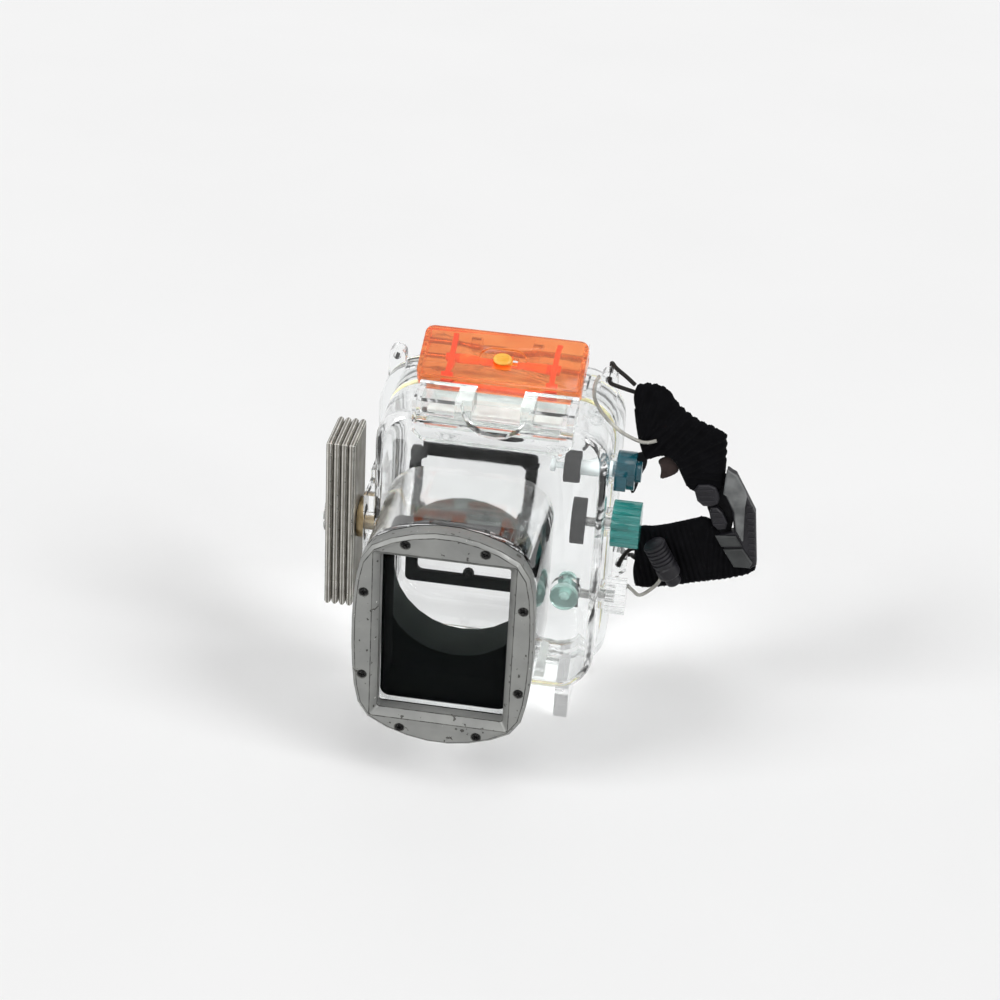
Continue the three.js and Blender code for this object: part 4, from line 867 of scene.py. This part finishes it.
class HOUSING_OT_port(bpy.types.Operator):
    """Finishes the port's frame, gasket, hood and screws"""

    bl_idname = "housing.port"
    bl_label = "Lens port"

    # Shares of a screw head's radius, and sizes in millimetres.
    top_share, cross_share, arm_share = 0.97, 0.62, 0.17
    recess_depth, recess_taper = 0.8, 0.8
    rim_height, cone_height, shank_radius = 0.15, 1.2, 1.0
    tip_height, tip_radius = 0.3, 0.6
    spin_step = 37  # degrees that each cross is turned past the last
    sides = 24

    def execute(self, context):
        dress("port_frame", cast_frame_metal(), 0.22, 30, worn_and_shaded_edge())
        dress("port_gasket", black_rubber())
        dress("port_hood", hood_abs_painted_shade_and_light(), 0.15)
        dress("lcd_mask", black_abs(), 0.15)
        oxide = black_oxide_steel()
        for i in range(1, 9):
            self.screw_head(i, oxide)
        return {"FINISHED"}

    def screw_head(self, number, material):
        """A countersunk head with a cross recess, over its shank."""
        low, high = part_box(f"port_screw_{number}")
        radius = (high.x - low.x) / 2 / MM
        face, end = low.y / MM, high.y / MM
        top, cross, arm = (radius * share for share in (self.top_share, self.cross_share, self.arm_share))
        quarter, corners = [(arm, cross), (arm, arm), (cross, arm)], []
        for _ in range(4):
            corners += quarter
            quarter = [(z, -x) for x, z in quarter]
        spin = Matrix.Rotation(math.radians(self.spin_step * number), 2)
        corners = [tuple(spin @ Vector(c)) for c in corners]
        bm = bmesh.new()
        flat = [Vector((top * c, top * s)) for c, s in circle(self.sides)] + [Vector(c) for c in corners]
        links = [(i, (i + 1) % self.sides) for i in range(self.sides)]
        links += [(self.sides + i, self.sides + (i + 1) % len(corners)) for i, _ in enumerate(corners)]
        verts, _, faces, *_ = delaunay_2d_cdt(flat, links, [], 2, 1e-6)
        cap = ring(bm, [(x, face, z) for x, z in verts])
        for f in faces:
            centre = sum((verts[i] for i in f), Vector((0, 0))) / len(f)
            if not inside(centre.x, centre.y, corners) and len(set(f)) == len(f):
                bm.faces.new([cap[i] for i in f])
        taper, depth = self.recess_taper, self.recess_depth
        floor = ring(bm, [(x * taper, face + depth, z * taper) for x, z in corners])
        join_rings(bm, [ring(bm, [(x, face, z) for x, z in corners]), floor], (-1,))
        shank = self.shank_radius
        levels = [(face, top), (face + self.rim_height, radius), (face + self.cone_height, shank),
                  (end - self.tip_height, shank), (end, self.tip_radius)]
        rings = [ring(bm, [(r * c, y, r * s) for c, s in circle(self.sides)]) for y, r in levels]
        join_rings(bm, rings, (-1,))
        middle = Matrix.Translation(((low.x + high.x) / 2, 0, (low.z + high.z) / 2))
        finish_piece(f"countersunk_screw_{number}", bm, material, "housing",
                     (f"port_screw_{number}",), middle)


class HOUSING_OT_ballast(bpy.types.Operator):
    """Finishes the ballast plates and the tripod bushing"""

    bl_idname = "housing.ballast"
    bl_label = "Ballast"

    def execute(self, context):
        plate, edge = ballast_steel(), ballast_edge_burnish_and_highlight()
        for i in range(1, 5):
            dress(f"weight_plate_{i}", plate, 0.25, 30, edge)
        dress("tripod_bushing", turned_brass(), 0.2)
        return {"FINISHED"}


class HOUSING_OT_controls(bpy.types.Operator):
    """Finishes the dyed controls, their wheels, the seal ring and the pads"""

    bl_idname = "housing.controls"
    bl_label = "Controls and inner pieces"

    def execute(self, context):
        finish = context.scene.housing_finish
        teal = tinted_polycarbonate("polycarbonate_teal_dyed", finish.upper_control, 0x114C58, 0.55,
                                    clear_inside=57)
        green = tinted_polycarbonate("polycarbonate_green_dyed", finish.lower_control, 0x2A807C, 0.55)
        pale = tinted_polycarbonate("polycarbonate_pale_teal_dyed", 0xD8F0EA, 0xBCE2DA, 0.85)
        for name, material in (("zoom_lever", teal), ("shutter_button", teal), ("mode_knob", green),
                               ("front_button", pale)):
            dress(name, material, 0.25).visible_shadow = False
        black = black_rubber()
        grey = moulded_rubber("rubber_grey_moulded", 0x4E5152, 0x3E4142)
        silicone = natural_silicone()
        for name in ("zoom_wheel", "mode_wheel", "control_wheel"):
            dress(name, black, 0.2)
        dress("exposure_wheel", grey, 0.3)
        for name in ("lower_pad", "upper_pad"):
            dress(name, silicone, 0.3).visible_shadow = False
        dress("main_o_ring", greased_silicone())
        return {"FINISHED"}


class HOUSING_OT_strap(bpy.types.Operator):
    """Makes the padded wrist strap with its flap and tab"""

    bl_idname = "housing.strap"
    bl_label = "Wrist strap"

    # Millimetres: the padded runs' middle Y and hem, and the flat pieces' weave and hem.
    middle, hem = -10, 1.8
    flat_pitch, flat_rib, flat_hem = 2.0, 0.1, 0.8
    upper = [(61.8, 154.0), (70.0, 155.9), (77.6, 153.4), (80.0, 148.6), (85.2, 144.2), (91.2, 140.4),
             (97.7, 138.6), (102.3, 136.6), (103.0, 132.9), (103.7, 121.0), (103.8, 106.4), (89.4, 106.2),
             (85.0, 114.5), (83.2, 118.3), (79.9, 121.6), (76.3, 122.4), (69.4, 118.6), (67.4, 124.3),
             (65.6, 129.4), (63.2, 141.1)]
    lower = [(68.6, 84.0), (70.2, 87.6), (76.4, 87.6), (90.9, 93.2), (98.2, 96.4), (104.5, 88.5),
             (112.0, 82.0), (120.8, 76.5), (121.2, 71.4), (112.6, 67.0), (97.9, 62.9), (81.0, 57.8),
             (70.0, 55.8), (68.6, 62.2)]
    flap = [(64.9, 121.6), (69.5, 123.0), (71.0, 117.5), (68.3, 110.8), (66.8, 103.3), (64.9, 101.8),
            (63.9, 106.5)]
    tab = [(74.3, 119.6), (79.9, 122.5), (83.7, 118.0), (84.1, 114.3), (76.2, 109.6), (76.9, 115.4)]
    web = [(94.0, 116.0), (103.6, 119.8), (109.0, 104.4), (109.0, 87.1), (104.5, 78.0), (98.0, 79.5),
           (100.4, 92.6), (96.2, 102.8)]

    def execute(self, context):
        sizes = context.scene.housing_strap
        half, pitch = sizes.thickness / 2 / MM, sizes.rib_pitch / MM
        rib, scallop = sizes.rib_height / MM, sizes.scallop / MM
        knit = knitted_nylon()
        path_up = [(60, 143), (74, 140), (90, 128), (97, 118), (97, 104)]
        path_down = [(66, 70), (84, 75), (98, 80), (122, 80)]
        # The left edge of the upper run and the right edge of the lower run are the outer, lobed ones.
        for name, outline, path, node, side, share in (
                ("strap_pad_upper", self.upper, path_up, "strap_upper", 1, 1.0),
                ("strap_pad_lower", self.lower, path_down, "strap_lower", -1, 0.7)):
            bm = ribbed_pad(outline, path, self.middle, half - rib, pitch * share, rib, self.hem,
                            scallop * share, side)
            piece = finish_piece(name, bm, knit, "housing", (node,), smooth=False)
            for face in piece.data.polygons:
                face.use_smooth = True
        webbing = woven_polyester("polyester_webbing_woven", 0x08080A, 0x111114)
        leatherette = woven_polyester("leatherette_tab_brown", 0x2A2220, 0x3A2F2D)
        self.flat("strap_flap", self.flap, [(67, 124), (66, 100)], -9.6, 1.0, webbing)
        self.flat("strap_web", self.web, [(99, 120), (103, 80)], -9.4, 1.0, webbing)
        self.flat("strap_tab", self.tab, [(76, 122), (80, 108)], -9.3, 0.8, leatherette)
        return {"FINISHED"}

    def flat(self, name, outline, path, middle, half, material):
        bm = ribbed_pad(outline, path, middle, half, self.flat_pitch, self.flat_rib, self.flat_hem, 0)
        finish_piece(name, bm, material, "housing")


class HOUSING_OT_buckle(bpy.types.Operator):
    """Makes the ladder buckle and the two keepers"""

    bl_idname = "housing.buckle"
    bl_label = "Buckle and keepers"

    frame_outline = [(104.2, 119.6), (108.2, 117.8), (113.2, 109.2), (118.0, 100.8), (121.0, 76.0),
                     (118.6, 73.8), (111.8, 74.0), (103.0, 88.0), (110.0, 90.6), (108.2, 100.6),
                     (104.6, 107.8)]
    cam_outline = [(104.0, 120.8), (108.3, 118.8), (112.4, 112.2), (113.6, 109.0), (113.3, 103.8),
                   (114.2, 87.7), (112.8, 88.8), (110.6, 92.4), (109.0, 101.0), (105.1, 108.2),
                   (103.7, 109.1)]
    bars = [
        [(102.2, 88.6), (110.9, 89.5), (113.9, 84.9), (105.3, 83.5)],
        [(106.2, 82.3), (114.4, 83.7), (119.2, 77.3), (118.1, 74.7), (111.6, 74.3)],
    ]
    ridges = 9
    ridge_start, ridge_end = (114.6, 104.0), (118.2, 80.0)
    ridge_reach = (-0.6, -0.7, 2.0, 0.5)  # its left, bottom, right and top from its place
    groove_shares = (0.25, 0.5, 0.75)
    # Front, back and chamfer.
    levels = {"frame": (-12.9, -7.4, 0.6), "ridge": (-13.5, -12.5, 0.3), "cam": (-14.0, -12.6, 0.5),
              "keeper": (-13.4, -6.9, 0.5), "groove": (-13.8, -13.2, 0.15)}
    keeper_upper = [(90.7, 111.2), (99.6, 112.6), (102.5, 107.3), (101.7, 102.6), (94.0, 101.7)]
    keeper_lower = [(98.0, 101.4), (102.9, 102.0), (108.0, 92.5), (101.4, 90.9)]

    def execute(self, context):
        grey, dark = glass_filled_nylon(), dark_nylon()
        bm = bmesh.new()
        chamfered_plate(bm, self.frame_outline, *self.levels["frame"])
        (ax, az), (bx, bz) = self.ridge_start, self.ridge_end
        for i in range(self.ridges):
            share = i / (self.ridges - 1)
            x, z = ax + (bx - ax) * share, az + (bz - az) * share
            left, bottom, right, top = self.ridge_reach
            ridge = rectangle(x + left, z + bottom, x + right, z + top)
            chamfered_plate(bm, ridge, *self.levels["ridge"])
        finish_piece("ladder_buckle", bm, dark, "housing", ("strap_buckle",), smooth=False)
        bm = bmesh.new()
        chamfered_plate(bm, self.cam_outline, *self.levels["cam"])
        finish_piece("buckle_cam", bm, grey, "housing", smooth=False)
        bm = bmesh.new()
        for outline in self.bars:
            chamfered_plate(bm, outline, *self.levels["cam"])
        finish_piece("buckle_bars", bm, ladder_nylon(), "housing", smooth=False)
        for name, outline, node in (("keeper_loop_upper", self.keeper_upper, "strap_keeper_upper"),
                                    ("keeper_loop_lower", self.keeper_lower, "strap_keeper_lower")):
            bm = bmesh.new()
            chamfered_plate(bm, rounded(outline, 1), *self.levels["keeper"])
            for share in self.groove_shares:
                chamfered_plate(bm, self.groove_bar(outline, share), *self.levels["groove"])
            finish_piece(name, bm, dark, "housing", (node,), smooth=False)
        return {"FINISHED"}

    def groove_bar(self, outline, share):
        """A thin bar across a keeper, at a share of the way down its two long sides."""
        (ax, az), (bx, bz), (cx, cz), (dx, dz) = outline[0], outline[1], outline[-2], outline[-1]
        bar = []
        for end, level in ((0.1, -0.05), (0.9, -0.05), (0.9, 0.05), (0.1, 0.05)):
            s = share + level
            left = (ax + (dx - ax) * s, az + (dz - az) * s)
            right = (bx + (cx - bx) * s, bz + (cz - bz) * s)
            bar.append((left[0] + (right[0] - left[0]) * end, left[1] + (right[1] - left[1]) * end))
        return bar


class HOUSING_OT_cord_lock(bpy.types.Operator):
    """Makes the ribbed cord lock and its plunger"""

    bl_idname = "housing.cord_lock"
    bl_label = "Cord lock"

    base = (76.4991, -17.3, 83.9961)
    tilt = 60  # degrees
    ribs, first_rib, rib_pitch = 6, 0.9, 1.8
    groove_radius, rib_radius = 4.3, 4.95

    def execute(self, context):
        dark = dark_nylon()
        place = (Matrix.Translation(Vector(self.base) * MM)
                 @ Matrix.Rotation(math.radians(self.tilt), 4, "Y"))
        bm = bmesh.new()
        profile = [(0, 3.6), (0.5, 4.4)]
        for i in range(self.ribs):
            start = self.first_rib + i * self.rib_pitch
            profile += [(start, self.groove_radius), (start + 0.3, self.rib_radius),
                        (start + 1.1, self.rib_radius), (start + 1.4, self.groove_radius)]
        profile += [(12.2, 4.3), (12.8, 4.9), (16.8, 4.95), (17.6, 4.5), (18, 4.0), (18, 3.7), (14, 3.7)]
        turned(bm, profile)
        finish_piece("cord_lock_barrel", bm, dark, "housing", ("cord_lock",), place)
        bm = bmesh.new()
        turned(bm, [(10, 2.6), (10.4, 3.1), (20.8, 3.35), (21.6, 3.1), (22.2, 2.4), (22.5, 1.2)])
        finish_piece("cord_lock_button", bm, dark, "cord_lock_key",
                     ("cord_lock_plunger",), place)
        return {"FINISHED"}


class HOUSING_OT_cords(bpy.types.Operator):
    """Lays the strap's cords and the clear ties, each held at both ends"""

    bl_idname = "housing.cords"
    bl_label = "Cords and ties"

    cord_diameter, tie_diameter = 1.8, 1.6
    upper_cord = [(62.6, -9.2, 153.2), (58.5, -8.8, 156.4), (54.2, -5.5, 157.8), (51.8, -0.5, 157.6),
                  (51.4, 2.2, 155), (51.4, 0.6, 152.6), (51.5, -3, 152.4), (52.2, -7.4, 151.9),
                  (56.5, -10.4, 152), (62.9, -11, 150.8)]
    lower_cord = [(69.2, -9.3, 75), (66.4, -8.9, 73.8), (63.4, -8.7, 69), (62.4, -8.8, 65.4),
                  (62.25, -3, 64), (62.6, 1.6, 63.8), (65.6, 2, 64.6), (67.4, -1, 66.6), (67.8, -6, 69),
                  (69.2, -10.2, 70.9)]
    upper_tether = [(46.8, -1.5, 151.2), (46.2, -7.5, 151.4), (46, -10, 149), (46.8, -10.4, 144.4),
                    (50.8, -10.4, 138.2), (57.1, -10.2, 132.2), (62.6, -11.4, 129.8),
                    (68.7, -13.4, 129.1), (73.8, -13.4, 130.6)]
    lower_tether = [(61.5, -3, 56.8), (62.6, -6.8, 56), (66.4, -7, 54.8), (69.4, -10, 54.2),
                    (72.8, -13.4, 54.4), (77.5, -13.4, 58.2), (80.8, -13.4, 63), (80.4, -13.4, 66.8),
                    (78.4, -13.4, 69.6)]

    def execute(self, context):
        black = woven_polyester("polyester_cord_braided", 0x141314, 0x2A2725)
        cord = (self.cord_diameter, black, "strap_fabric")
        tie = (self.tie_diameter, soft_vinyl(), "tether_plastic")
        cord_piece("braided_cord_upper", self.upper_cord, *cord, "upper_cord")
        cord_piece("braided_cord_lower", self.lower_cord, *cord, "lower_cord")
        cord_piece("vinyl_tie_upper", self.upper_tether, *tie, "upper_tether")
        cord_piece("vinyl_tie_lower", self.lower_tether, *tie, "lower_tether")
        return {"FINISHED"}


STEPS = (HOUSING_OT_stage, HOUSING_OT_cords, HOUSING_OT_clear_shells, HOUSING_OT_latch, HOUSING_OT_port,
         HOUSING_OT_ballast, HOUSING_OT_controls, HOUSING_OT_strap, HOUSING_OT_buckle,
         HOUSING_OT_cord_lock)


class HOUSING_PT_looks(bpy.types.Panel):
    """Lists the steps that dress the housing"""

    bl_idname = "HOUSING_PT_looks"
    bl_label = "Housing looks"
    bl_space_type = "VIEW_3D"
    bl_region_type = "UI"
    bl_category = "Housing"

    def draw(self, context):
        for step in STEPS:
            self.layout.operator(step.bl_idname)
        for group in (context.scene.housing_finish, context.scene.housing_strap, context.scene.housing_stage):
            box = self.layout.box()
            for name in group.__annotations__:
                box.prop(group, name)


CLASSES = (HousingFinish, HousingStrapSizes, HousingStage, *STEPS, HOUSING_PT_looks)


def register():
    for cls in CLASSES:
        bpy.utils.register_class(cls)
    bpy.types.Scene.housing_finish = PointerProperty(type=HousingFinish)
    bpy.types.Scene.housing_strap = PointerProperty(type=HousingStrapSizes)
    bpy.types.Scene.housing_stage = PointerProperty(type=HousingStage)


def unregister():
    del bpy.types.Scene.housing_stage
    del bpy.types.Scene.housing_strap
    del bpy.types.Scene.housing_finish
    for cls in reversed(CLASSES):
        bpy.utils.unregister_class(cls)


def main():
    register()
    for step in STEPS:
        group, name = step.bl_idname.split(".")
        result = getattr(getattr(bpy.ops, group), name)()
        if result != {"FINISHED"}:
            raise RuntimeError(f"{step.bl_label} did not finish")


if __name__ == "__main__":
    main()
